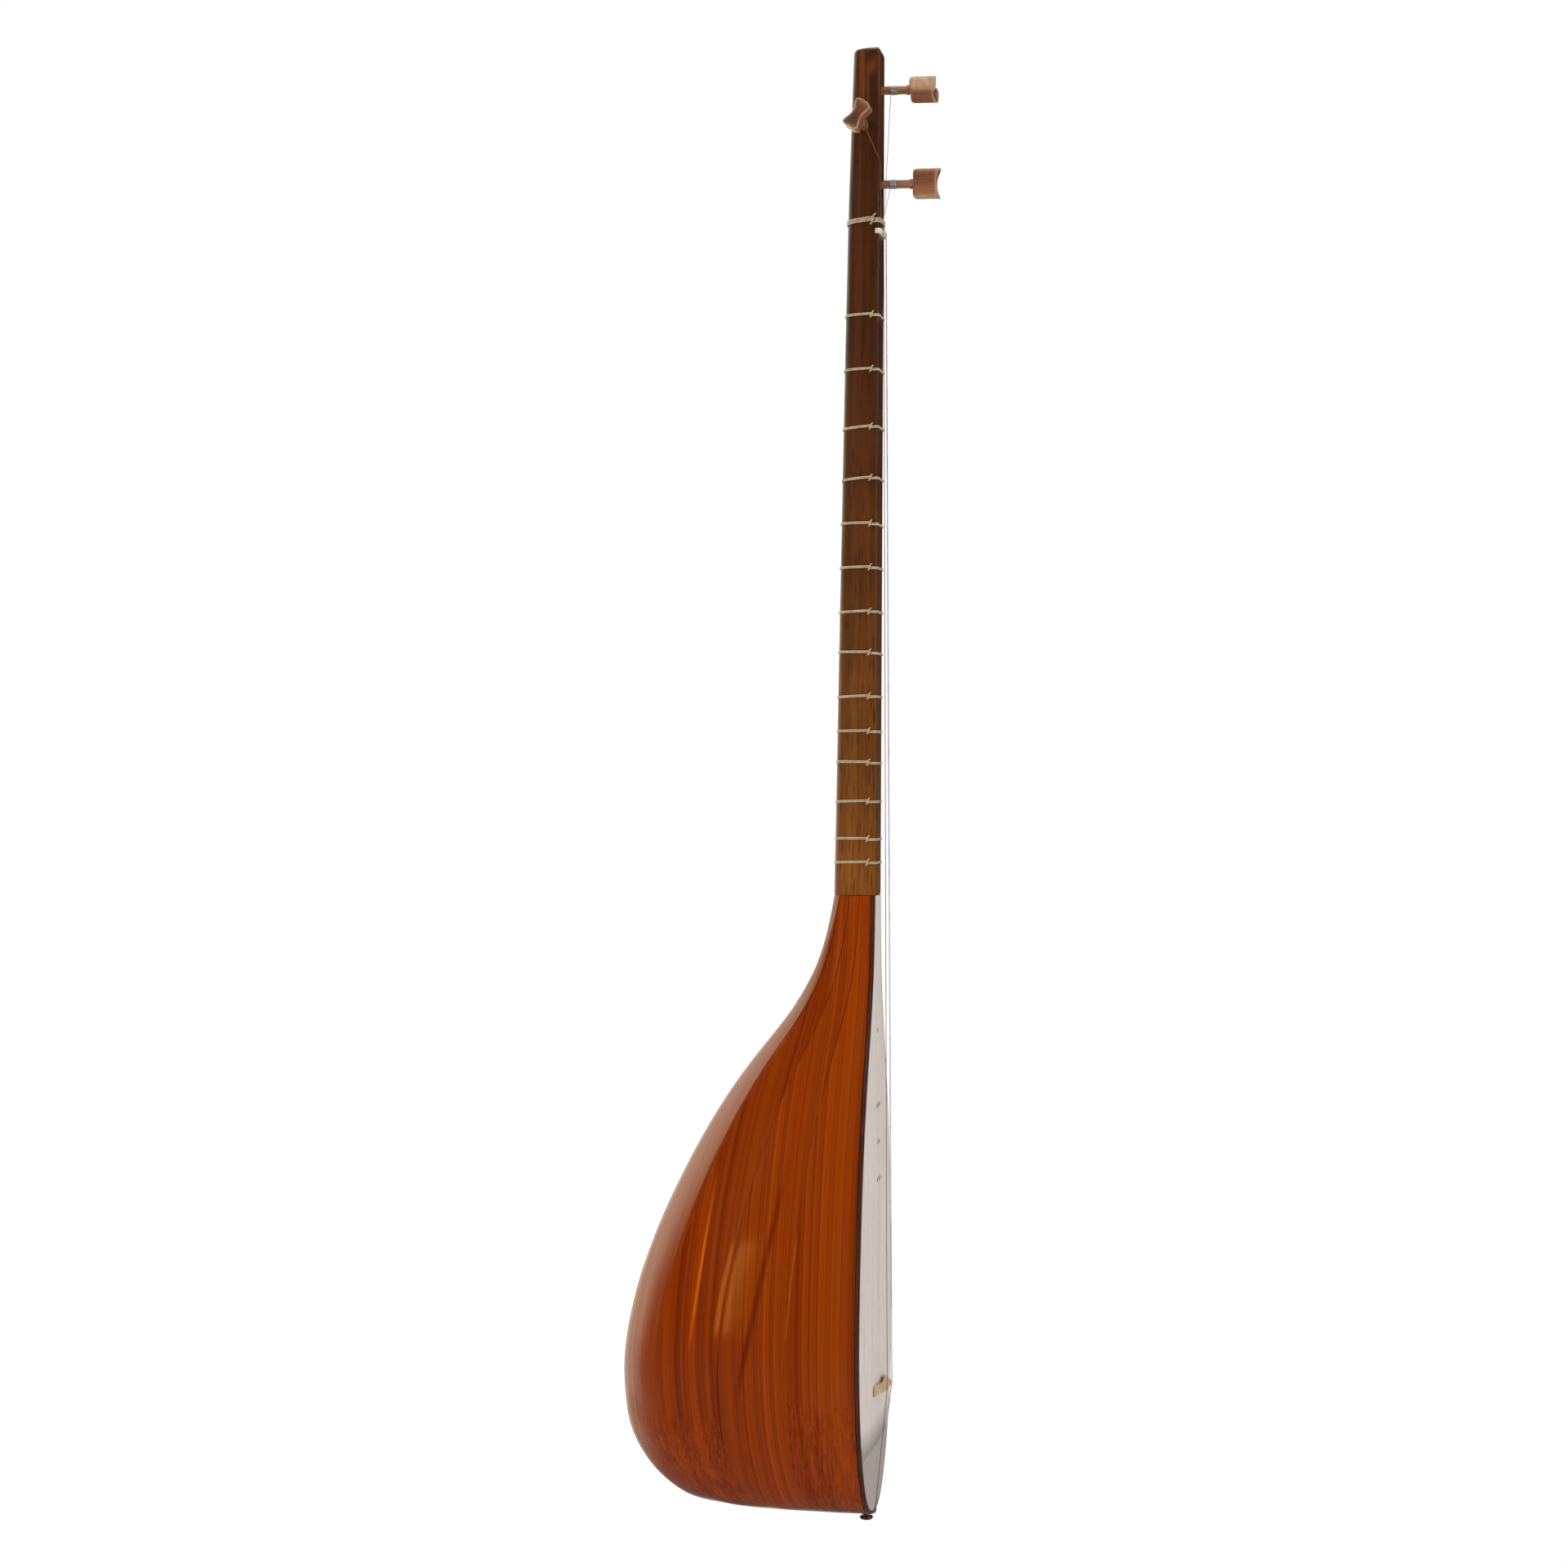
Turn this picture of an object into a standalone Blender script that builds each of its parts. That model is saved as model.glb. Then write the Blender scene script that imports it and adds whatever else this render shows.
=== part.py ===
# A tanbur: a long-necked lute with a bowl of nine staves, three pegs and tied gut frets.
# It stands upright as it hangs: the soundboard faces -Y and the bass side is -X.
import math

import bmesh
import bpy
import numpy as np
from mathutils import Matrix, Vector

# Running and assembly clearance between pieces that touch
GAP = 0.0003

# Bowl
BODY_LENGTH = 0.3785
BODY_HALF_WIDTH = 0.0825
BODY_DEPTH = 0.1564
RIB_COUNT = 9
RIB_THICKNESS = 0.0030
RIB_CAMBER = 0.55
SECTION_FULLNESS = 2.25
WIDEST_AT = 0.29
DEEPEST_AT = 0.235
TAIL_OPENING_HALF_WIDTH = 0.0030
TAIL_OPENING_DEPTH = 0.0080
BODY_STATIONS = 32
STATION_CURVE = (0.2, 3.0, -2.2)

# Soundboard and its edge binding
BOARD_THICKNESS = 0.0024
BOARD_CROWN = 0.0022
BINDING_WIDTH = 0.0018
SOUND_HOLE_RADIUS = 0.0010
SOUND_HOLE_PITCH = 0.0070
SOUND_HOLE_FACETS = 8
SOUND_HOLE_ROWS = ((0.78, 1), (0.66, 3), (0.60, 2), (0.54, 3))

# Neck and head
HEAD_LENGTH = 0.1125
NECK_HALF_WIDTH_AT_BODY = 0.0145
NECK_HALF_WIDTH_AT_NUT = 0.0130
NECK_HALF_WIDTH_AT_TOP = 0.0122
NECK_DEPTH_AT_BODY = 0.0268
NECK_DEPTH_AT_NUT = 0.0204
NECK_DEPTH_AT_TOP = 0.0172
NECK_EDGE_BEVEL = 0.0008
NECK_FACETS = 11
NECK_STATIONS = 12
HEAD_CHAMFER = 0.0022
HEAD_CHAMFER_CURVE = ((0.55, 0.22), (1.0, 0.9))
TENON_HALF_WIDTH = 0.0065
TENON_DEPTH = 0.0120
TENON_LENGTH = 0.0280
TENON_FROM_FRONT = 0.0075

# Blocks inside the bowl
NECK_BLOCK_HEIGHT = 0.0380
END_BLOCK_HEIGHT = 0.0240
END_BLOCK_WIDTH = 0.0560
END_BLOCK_DEPTH = 0.0480

# Strings and scale
STRING_LENGTH = 0.7065
BODY_JOINT_CENTS = 1477
TREBLE_RADIUS = 0.00018
BASS_RADIUS = 0.00022
NUT_SPACING = (-0.0075, 0.0045, 0.0075)
BRIDGE_SPACING = (-0.0130, 0.0085, 0.0130)
TAIL_SPACING = (-0.0022, 0.0014, 0.0029)
STRING_REST_GAP = 0.0004

# Nut and the gut tie above it
NUT_WIDTH = 0.0038
NUT_SEAT_DEPTH = 0.0042
NUT_RISE = 0.0020
NUT_SHOULDER = 0.45
NUT_CROWN = 0.55
TIE_FROM_NUT = 0.0070
TIE_RADIUS = 0.00045
TIE_TURNS = 3
TIE_PITCH = 0.00136

# Tied gut frets, placed by their interval above the open string in cents
FRET_CENTS = (130, 220, 320, 415, 505, 595, 690, 785, 890, 980, 1065, 1175, 1290, 1365)
FRET_RADIUS = 0.00030
FRET_TURNS = 2
FRET_PITCH = 0.00106
FRET_TAIL = 0.0026
KNOT_CORNER = 10
KNOT_TAIL_WAY = (0.25, 0.55, 0.80)

# Bridge
BRIDGE_LENGTH = 0.0520
BRIDGE_HEIGHT = 0.0062
BRIDGE_FOOT_WIDTH = 0.0062
BRIDGE_TOP_WIDTH = 0.0018
BRIDGE_FOOT_LENGTH = 0.0110
BRIDGE_ARCH_HEIGHT = 0.0026
BRIDGE_ARCH_FLAT = 0.45
BRIDGE_ARCH_SHOULDER = 0.72
BRIDGE_SHOULDER_RISE = 0.93
BRIDGE_END_RISE = 0.36

# Tail button
BUTTON_AXIS_DEPTH = 0.0052
BUTTON_HEAD_RADIUS = 0.0042
BUTTON_FLAT_RADIUS = 0.0028
BUTTON_HEAD_HEIGHT = 0.0026
BUTTON_HEAD_PROFILE = ((0.93, 0.30), (1.0, 0.60), (0.90, 0.92))
BUTTON_GROOVE_RADIUS = 0.0020
BUTTON_GROOVE_HEIGHT = 0.0021
BUTTON_SHANK_RADIUS = 0.0016
BUTTON_SHANK_LENGTH = 0.0160
BUTTON_FACETS = 16
HOOK_LEVELS = (0.76, 0.22, 0.49)
HOOK_TURNS = range(10, 170, 25)

# Pegs
LOWER_PEG_FROM_NUT = 0.0301
SIDE_PEG_FROM_LOWER = 0.0339
UPPER_PEG_FROM_LOWER = 0.0576
PEG_SHAFT_RADIUS = 0.00255
PEG_TIP_RADIUS = 0.00205
PEG_TIP_RECESS = 0.0005
UPPER_PEG_SHAFT = 0.0174
LOWER_PEG_SHAFT = 0.0196
SIDE_PEG_SHAFT = 0.0240
SIDE_PEG_DEPTH = 0.0092
PEG_HEAD_LENGTH = 0.0170
PEG_HEAD_WIDTH = 0.0182
PEG_HEAD_THICKNESS = 0.0098
PEG_HEAD_WAIST = 0.0066
PEG_HEAD_DISH = 0.0024
PEG_HEAD_SLANT = 0.0012
PEG_HEAD_BASE = 0.90
PEG_HEAD_BASE_LENGTH = 0.12
PEG_HEAD_PROFILE = ((-0.5, 0.50), (-0.40, 1.0), (-0.22, 0.90), (0.22, 0.90), (0.40, 1.0), (0.5, 0.50))
PEG_FACETS = 12
BORE_FACETS = 16
UPPER_PEG_TURN = math.radians(70)
LOWER_PEG_TURN = math.radians(-3)
SIDE_PEG_TURN = math.radians(-32)
WINDING_LOOPS = 4
WINDING_LOOP_POINTS = 14
WINDING_PITCH = 0.00088
WINDING_FROM_NECK = 0.0056
EDGE_TOUCH_SHARE = 0.66

# Places worked out from the sizes above, measured up from the tail button's end
TAIL_Z = BUTTON_HEAD_HEIGHT + BUTTON_GROOVE_HEIGHT + GAP
JOINT_Z = TAIL_Z + BODY_LENGTH
NECK_TO_NUT = STRING_LENGTH * (1 - 2 ** (-BODY_JOINT_CENTS / 1200))
NUT_Z = JOINT_Z + NECK_TO_NUT
HEAD_TOP_Z = NUT_Z + HEAD_LENGTH
BRIDGE_Z = NUT_Z - STRING_LENGTH
LOWER_PEG_Z = NUT_Z + LOWER_PEG_FROM_NUT
SIDE_PEG_Z = LOWER_PEG_Z + SIDE_PEG_FROM_LOWER
UPPER_PEG_Z = LOWER_PEG_Z + UPPER_PEG_FROM_LOWER
RIM_Y = BOARD_THICKNESS + GAP
STRING_REST_Y = -(BASS_RADIUS + STRING_REST_GAP)

# The object hangs by a loop round the neck, caught under the lowest front peg
HANGING_LOOP_RADIUS = 0.0040
HANGING_Z = LOWER_PEG_Z - PEG_SHAFT_RADIUS - HANGING_LOOP_RADIUS

# Swell of the bowl. Above the widest place a share of 0 is the neck's size and 1 the bowl's.
WIDTH_ABOVE = (
    (WIDEST_AT, 1.0), (0.41, 0.955), (0.515, 0.858), (0.634, 0.672),
    (0.742, 0.405), (0.832, 0.168), (0.911, 0.042), (1.0, 0.0),
)
DEPTH_ABOVE = (
    (DEEPEST_AT, 1.0), (0.34, 0.955), (0.45, 0.850), (0.56, 0.702), (0.66, 0.538),
    (0.745, 0.363), (0.82, 0.183), (0.89, 0.078), (0.95, 0.027), (1.0, 0.0),
)
# Below it the shares are of the squared size, which keeps the tail end round.
WIDTH_BELOW = ((0.0, 0.0), (0.0185, 0.144), (0.086, 0.518), (0.176, 0.846), (WIDEST_AT, 1.0))
DEPTH_BELOW = (
    (0.0, 0.0), (0.0021, 0.130), (0.0079, 0.355), (0.0171, 0.512), (0.0318, 0.612),
    (0.0508, 0.708), (0.074, 0.800), (0.1065, 0.890), (0.137, 0.955), (DEEPEST_AT, 1.0),
)


def clear_scene():
    for item in list(bpy.data.objects):
        bpy.data.objects.remove(item, do_unlink=True)


def make_material(name, colour, roughness, metallic=0.0):
    material = bpy.data.materials.new(name)
    material.use_nodes = True
    shader = material.node_tree.nodes["Principled BSDF"]
    shader.inputs["Base Color"].default_value = (*colour, 1.0)
    shader.inputs["Roughness"].default_value = roughness
    shader.inputs["Metallic"].default_value = metallic
    return material


def place(item, parent, material=None, smooth_angle=None):
    """Link an object under its parent, give it its material and smooth its round faces."""
    bpy.context.scene.collection.objects.link(item)
    item.parent = parent
    if material:
        item.data.materials.append(material)
    if smooth_angle:
        item.data.shade_smooth()
        item.data.set_sharp_from_angle(angle=smooth_angle)
    return item


def mesh_object(name, vertices, faces):
    mesh = bpy.data.meshes.new(name)
    mesh.from_pydata([tuple(v) for v in vertices], [], faces)
    form = bmesh.new()
    form.from_mesh(mesh)
    bmesh.ops.recalc_face_normals(form, faces=form.faces)
    form.to_mesh(mesh)
    form.free()
    return bpy.data.objects.new(name, mesh)


def loft(name, rings, rising=(), falling=()):
    """A closed solid through a run of rings that all have the same number of points.

    Sides are numbered by their first point. A rising or falling side is split along the
    diagonal that goes up or down from there, so two twisted sides that face can match.
    """
    count = len(rings[0])
    vertices = [point for ring in rings for point in ring]
    faces = [tuple(range(count))]
    for row in range(len(rings) - 1):
        for i in range(count):
            a = row * count + i
            b = row * count + (i + 1) % count
            c = b + count
            d = a + count
            if i in rising:
                faces += [(a, b, c), (a, c, d)]
            elif i in falling:
                faces += [(a, b, d), (b, c, d)]
            else:
                faces.append((a, b, c, d))
    last = (len(rings) - 1) * count
    faces.append(tuple(last + i for i in reversed(range(count))))
    return mesh_object(name, vertices, faces)


def box(name, low, high):
    corners = [Vector((x, y, z)) for z in (low[2], high[2]) for x, y in (
        (low[0], low[1]), (high[0], low[1]), (high[0], high[1]), (low[0], high[1]))]
    return loft(name, [corners[:4], corners[4:]])


def turned(name, profile, facets):
    """A solid turned about Z from (radius, height) points that start and end on the axis."""
    rings = [
        [
            Vector((radius * math.cos(turn), radius * math.sin(turn), height))
            for turn in (2 * math.pi * i / facets for i in range(facets))
        ]
        for radius, height in profile
    ]
    return loft(name, rings)


def tube(name, points, radius, resolution):
    """A round cord or wire through its points, with closed ends."""
    curve = bpy.data.curves.new(name, "CURVE")
    curve.dimensions = "3D"
    curve.bevel_depth = radius
    curve.bevel_resolution = resolution
    curve.use_fill_caps = True
    spline = curve.splines.new("POLY")
    spline.points.add(len(points) - 1)
    for slot, point in zip(spline.points, points):
        slot.co = (*point, 1.0)
    return bpy.data.objects.new(name, curve)


def use_as_cutter(item, parent):
    item.hide_render = True
    item.display_type = "WIRE"
    return place(item, parent)


def combine(item, tool, operation):
    modifier = item.modifiers.new(f"{operation.lower()} {tool.name}", "BOOLEAN")
    modifier.operation = operation
    modifier.object = tool
    modifier.solver = "EXACT"


def smooth_value(points, at):
    """Read a rising or falling curve through its points with no overshoot between them."""
    xs = np.array([p[0] for p in points])
    ys = np.array([p[1] for p in points])
    widths = np.diff(xs)
    slopes = np.diff(ys) / widths
    tangents = np.empty(len(xs))
    # Level where the curve reaches 1, so that the parts above and below the widest place meet
    tangents[0] = 0.0 if ys[0] == 1.0 else slopes[0]
    tangents[-1] = 0.0 if ys[-1] == 1.0 else slopes[-1]
    for i in range(1, len(xs) - 1):
        if slopes[i - 1] * slopes[i] <= 0:
            tangents[i] = 0.0
        else:
            before = widths[i] + 2 * widths[i - 1]
            after = 2 * widths[i] + widths[i - 1]
            tangents[i] = (before + after) / (before / slopes[i] + after / slopes[i - 1])
    at = min(max(at, xs[0]), xs[-1])
    i = min(int(np.searchsorted(xs, at, side="right")) - 1, len(widths) - 1)
    t = (at - xs[i]) / widths[i]
    rise = t * t * (3 - 2 * t)
    value = ys[i] + (ys[i + 1] - ys[i]) * rise
    value += widths[i] * tangents[i] * t * (1 - t) ** 2
    value -= widths[i] * tangents[i + 1] * t * t * (1 - t)
    return float(value)


def section_point(half_width, depth, front, turn):
    """A point on the rounded back of a section, from the bass edge at pi to the treble at 0."""
    power = 2 / SECTION_FULLNESS
    across = math.copysign(abs(math.cos(turn)) ** power, math.cos(turn))
    back = abs(math.sin(turn)) ** power
    return Vector((half_width * across, front + (depth - front) * back))


def even_turns(half_width, depth, count):
    """Angles that cut the back of a section into parts of equal length."""
    fine = np.linspace(0, math.pi, 721)
    outline = [section_point(half_width, depth, 0, turn) for turn in fine]
    steps = [0.0] + [(b - a).length for a, b in zip(outline, outline[1:])]
    run = np.cumsum(steps)
    return [float(t) for t in np.interp(np.linspace(0, run[-1], count + 1), run, fine)]


def mitred_offset(outline, distance):
    """Move a closed outline outwards by a distance, keeping each side parallel."""
    moved = []
    count = len(outline)
    for i, point in enumerate(outline):
        before = (point - outline[i - 1]).normalized()
        after = (outline[(i + 1) % count] - point).normalized()
        normal = Vector((before.y + after.y, -before.x - after.x)).normalized()
        spread = normal.dot(Vector((after.y, -after.x)))
        moved.append(point + normal * distance / spread)
    return moved


# Shape of the bowl

def body_share(station):
    """Share of the bowl's length at a station, close together at the flat tail end."""
    t = min(max(station / BODY_STATIONS, 0.0), 1.0)
    return t * t * (STATION_CURVE[0] + STATION_CURVE[1] * t + STATION_CURVE[2] * t * t)


def body_z(share):
    return TAIL_Z + share * (BODY_LENGTH - GAP)


def swell(share, above, below, tail, bowl, neck):
    if share >= above[0][0]:
        return neck + (bowl - neck) * smooth_value(above, share)
    return math.sqrt(tail ** 2 + (bowl ** 2 - tail ** 2) * smooth_value(below, share))


def body_half_width(share):
    return swell(share, WIDTH_ABOVE, WIDTH_BELOW,
                 TAIL_OPENING_HALF_WIDTH, BODY_HALF_WIDTH, NECK_HALF_WIDTH_AT_BODY)


def body_depth(share):
    return swell(share, DEPTH_ABOVE, DEPTH_BELOW,
                 TAIL_OPENING_DEPTH, BODY_DEPTH, NECK_DEPTH_AT_BODY)


def bowl_point(turn, share):
    flat = section_point(body_half_width(share), body_depth(share), RIM_Y, turn)
    return Vector((flat.x, flat.y, body_z(share)))


def bowl_directions(turn, station):
    """The way outwards from the bowl, and the way across a seam towards a greater turn."""
    turn_step = 0.01
    share = body_share(station)
    before = body_share(station - 0.5)
    after = body_share(station + 0.5)
    across = bowl_point(min(turn + turn_step, math.pi), share)
    across -= bowl_point(max(turn - turn_step, 0.0), share)
    along = bowl_point(turn, after) - bowl_point(turn, before)
    outwards = across.cross(along).normalized()
    return outwards, along.cross(outwards).normalized()


def bowl_inside(turn, station, thickness):
    return bowl_point(turn, body_share(station)) - bowl_directions(turn, station)[0] * thickness


def board_y(x, share):
    """Front face of the crowned soundboard."""
    half = body_half_width(share)
    return -BOARD_CROWN * (half ** 2 - x ** 2) / BODY_HALF_WIDTH ** 2


def rim_point(station, inset):
    """The soundboard's outline on the treble side, moved in by an inset: (x, z)."""
    share = body_share(station)
    before = body_share(station - 0.5)
    after = body_share(station + 0.5)
    run = Vector((body_half_width(after) - body_half_width(before), body_z(after) - body_z(before)))
    run.normalize()
    inward = Vector((-run.y, run.x))
    point = Vector((body_half_width(share), body_z(share))) + inward * inset
    point.y = min(point.y, body_z(1.0))
    return point


# Shape of the neck

def neck_half_width(z):
    heights = (JOINT_Z, NUT_Z, HEAD_TOP_Z)
    sizes = (NECK_HALF_WIDTH_AT_BODY, NECK_HALF_WIDTH_AT_NUT, NECK_HALF_WIDTH_AT_TOP)
    return smooth_value(tuple(zip(heights, sizes)), z)


def neck_depth(z):
    heights = (JOINT_Z, NUT_Z, HEAD_TOP_Z)
    sizes = (NECK_DEPTH_AT_BODY, NECK_DEPTH_AT_NUT, NECK_DEPTH_AT_TOP)
    return smooth_value(tuple(zip(heights, sizes)), z)


NECK_TURNS = even_turns(NECK_HALF_WIDTH_AT_NUT, NECK_DEPTH_AT_NUT, NECK_FACETS)


def neck_outline(z):
    """The neck's section: a rounded back and a flat front with two bevelled edges."""
    half = neck_half_width(z)
    outline = [section_point(half, neck_depth(z), NECK_EDGE_BEVEL, t) for t in NECK_TURNS]
    outline.append(Vector((-(half - NECK_EDGE_BEVEL), 0.0)))
    outline.append(Vector((half - NECK_EDGE_BEVEL, 0.0)))
    return outline


def at_height(outline, z):
    return [Vector((point.x, point.y, z)) for point in outline]


def make_ribs(root, material):
    """Nine staves, flat across with a light camber, that meet at the tail and the neck."""
    seams = even_turns(BODY_HALF_WIDTH, BODY_DEPTH, RIB_COUNT)
    for number in range(1, RIB_COUNT + 1):
        # The bass side mirrors the treble side
        pair = min(number, RIB_COUNT + 1 - number)
        side = 1 if number == pair else -1
        start, end = seams[pair - 1], seams[pair]
        rings = []
        for station in range(BODY_STATIONS + 1):
            outer_a = bowl_point(start, body_share(station))
            outer_b = bowl_point(end, body_share(station))
            inner_a = bowl_inside(start, station, RIB_THICKNESS)
            inner_b = bowl_inside(end, station, RIB_THICKNESS)
            chord_middle = (outer_a + outer_b) / 2
            arc_middle = bowl_point((start + end) / 2, body_share(station))
            crest = chord_middle.lerp(arc_middle, RIB_CAMBER)
            free_a = bowl_directions(start, station)[1] * (GAP / 2 if pair > 1 else 0.0)
            free_b = bowl_directions(end, station)[1] * GAP / 2
            ring = [outer_a + free_a, crest, outer_b - free_b, inner_b - free_b, inner_a + free_a]
            rings.append([Vector((side * p.x, p.y, p.z)) for p in ring])
        rib = loft(f"rib_{number}", rings, rising=(1, 2, 3), falling=(0, 4))
        place(rib, root, material, math.radians(12))


def inside_form(root):
    """The hollow of the bowl as a solid, one clearance smaller all round."""
    seams = even_turns(BODY_HALF_WIDTH, BODY_DEPTH, RIB_COUNT)
    rings = [
        [bowl_inside(turn, station, RIB_THICKNESS + GAP) for turn in seams]
        for station in range(BODY_STATIONS + 1)
    ]
    middle = (RIB_COUNT + 1) // 2
    form = loft("inside_form", rings, rising=range(middle, RIB_COUNT), falling=range(middle))
    return use_as_cutter(form, root)


def make_neck_block(root, form, material):
    low = (-BODY_HALF_WIDTH, RIM_Y, JOINT_Z - NECK_BLOCK_HEIGHT)
    high = (BODY_HALF_WIDTH, BODY_DEPTH, JOINT_Z - 2 * GAP)
    block = place(box("neck_block", low, high), root, material)
    combine(block, form, "INTERSECT")
    low = (-TENON_HALF_WIDTH - GAP, TENON_FROM_FRONT - GAP, JOINT_Z - TENON_LENGTH - GAP)
    high = (TENON_HALF_WIDTH + GAP, TENON_FROM_FRONT + TENON_DEPTH + GAP, JOINT_Z + GAP)
    combine(block, use_as_cutter(box("mortise", low, high), root), "DIFFERENCE")


def make_end_block(root, form, material):
    low = (-END_BLOCK_WIDTH / 2, RIM_Y, TAIL_Z)
    high = (END_BLOCK_WIDTH / 2, RIM_Y + END_BLOCK_DEPTH, TAIL_Z + END_BLOCK_HEIGHT)
    block = place(box("end_block", low, high), root, material)
    combine(block, form, "INTERSECT")
    radius = (BUTTON_SHANK_RADIUS + GAP) / math.cos(math.pi / BORE_FACETS)
    top = BUTTON_HEAD_HEIGHT + BUTTON_GROOVE_HEIGHT + BUTTON_SHANK_LENGTH + GAP
    bore = turned("button_bore", ((radius, 0.0), (radius, top)), BORE_FACETS)
    bore.location = (0, BUTTON_AXIS_DEPTH, 0)
    combine(block, use_as_cutter(bore, root), "DIFFERENCE")


def make_soundboard(root, material):
    """A thin crowned board inside the binding, with burnt sound holes in small groups."""
    columns = (1.0, 0.5, 0.0, -0.5, -1.0)
    rings = []
    for station in range(BODY_STATIONS + 1):
        share = body_share(station)
        edge = rim_point(station, BINDING_WIDTH + GAP)
        front = [Vector((edge.x * c, board_y(edge.x * c, share), edge.y)) for c in columns]
        back = [point + Vector((0, BOARD_THICKNESS, 0)) for point in reversed(front)]
        rings.append(front + back)
    board = place(loft("soundboard", rings), root, material, math.radians(12))
    # Each row: how far up the body it stands, and how many holes it has
    for row, (share, count) in enumerate(SOUND_HOLE_ROWS, start=1):
        for i in range(count):
            reach = 2 * BOARD_THICKNESS
            profile = ((SOUND_HOLE_RADIUS, -reach), (SOUND_HOLE_RADIUS, reach))
            hole = turned(f"sound_hole_{row}_{i + 1}", profile, SOUND_HOLE_FACETS)
            hole.rotation_euler = (math.radians(90), 0, 0)
            hole.location = ((i - (count - 1) / 2) * SOUND_HOLE_PITCH, 0, body_z(share))
            combine(board, use_as_cutter(hole, root), "DIFFERENCE")


def make_binding(root, material):
    """The dark strip let into the edge of the soundboard, from joint to joint."""
    stations = range(BODY_STATIONS + 1)
    path = [(station, 1) for station in reversed(stations)] + [(station, -1) for station in stations]
    rings = []
    for station, side in path:
        outer = rim_point(station, 0.0)
        inner = rim_point(station, BINDING_WIDTH)
        rings.append([
            Vector((side * outer.x, 0.0, outer.y)),
            Vector((side * inner.x, 0.0, inner.y)),
            Vector((side * inner.x, BOARD_THICKNESS, inner.y)),
            Vector((side * outer.x, BOARD_THICKNESS, outer.y)),
        ])
    place(loft("edge_binding", rings), root, material, math.radians(25))


def make_neck(root, material):
    """Neck and head in one piece, with the tenon, the peg bores and the seat of the nut."""
    rings = []
    top = HEAD_TOP_Z - HEAD_CHAMFER
    for i in range(NECK_STATIONS + 1):
        z = JOINT_Z + (top - JOINT_Z) * i / NECK_STATIONS
        rings.append(at_height(neck_outline(z), z))
    for rise, inset in HEAD_CHAMFER_CURVE:
        z = top + HEAD_CHAMFER * rise
        rings.append(at_height(mitred_offset(neck_outline(z), -HEAD_CHAMFER * inset), z))
    neck = place(loft("neck", rings), root, material, math.radians(35))

    low = (-TENON_HALF_WIDTH, TENON_FROM_FRONT, JOINT_Z - TENON_LENGTH)
    high = (TENON_HALF_WIDTH, TENON_FROM_FRONT + TENON_DEPTH, JOINT_Z + TENON_DEPTH)
    combine(neck, use_as_cutter(box("tenon", low, high), root), "UNION")

    half = NUT_WIDTH / 2 + GAP
    reach = 2 * NECK_HALF_WIDTH_AT_BODY
    low = (-reach, -reach, NUT_Z - half)
    high = (reach, NUT_SEAT_DEPTH + GAP, NUT_Z + half)
    combine(neck, use_as_cutter(box("nut_seat", low, high), root), "DIFFERENCE")
    return neck


def make_nut(root, material):
    """A bone bar across the neck, rounded over its top."""
    half = neck_half_width(NUT_Z) - GAP
    w = NUT_WIDTH / 2
    profile = (
        (-w, NUT_SEAT_DEPTH), (w, NUT_SEAT_DEPTH), (w, -NUT_RISE * NUT_SHOULDER),
        (w * NUT_CROWN, -NUT_RISE), (-w * NUT_CROWN, -NUT_RISE), (-w, -NUT_RISE * NUT_SHOULDER),
    )
    rings = [[Vector((x, y, NUT_Z + z)) for z, y in profile] for x in (-half, half)]
    place(loft("nut", rings), root, material)


def least_gap(points, radius, neighbours):
    """Least space between stretches of one tube, leaving out points within its own bend."""
    places = np.array([tuple(point) for point in points])
    steps = np.linspace(0, 1, 4, endpoint=False)
    fine = [a + (b - a) * s for a, b in zip(places, places[1:]) for s in steps]
    fine = np.array(fine + [places[-1]])
    apart = np.linalg.norm(fine[:, None, :] - fine[None, :, :], axis=2)
    index = np.arange(len(fine))
    near = np.abs(index[:, None] - index[None, :]) < neighbours * len(steps)
    apart[near] = np.inf
    return float(apart.min()) - 2 * radius


def wound_gut(name, outline_at, z, radius, turns, pitch, tail, neighbours):
    """One unbroken strand wound round the neck, knotted at the bass side with two cut ends."""
    count = len(outline_at(z))
    points = []
    for i in range(turns * count + 1):
        height = z + (i / count - turns / 2) * pitch
        corner = outline_at(height)[(KNOT_CORNER + i) % count]
        points.append(Vector((corner.x, corner.y, height)))
    out, back, up = KNOT_TAIL_WAY
    first = points[0] + Vector((-out, back, -up)) * tail
    last = points[-1] + Vector((-out, -back, up)) * tail
    points = [first] + points + [last]
    print(f"{name}: least gap to itself {1000 * least_gap(points, radius, neighbours):.3f} mm")
    return points


def make_frets(root, material):
    """Fourteen frets of gut, each tied round the neck and free to slide along it."""
    reach = GAP + FRET_RADIUS

    def around(z):
        return mitred_offset(neck_outline(z), reach)

    for number, cents in enumerate(FRET_CENTS, start=1):
        name = f"fret_{number:02d}"
        z = NUT_Z - STRING_LENGTH * (1 - 2 ** (-cents / 1200))
        centre = Vector((0, neck_depth(z) / 2, z))
        points = wound_gut(name, around, z, FRET_RADIUS, FRET_TURNS, FRET_PITCH, FRET_TAIL, 8)
        fret = tube(name, [point - centre for point in points], FRET_RADIUS, 1)
        fret.location = centre
        place(fret, root, material)


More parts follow.
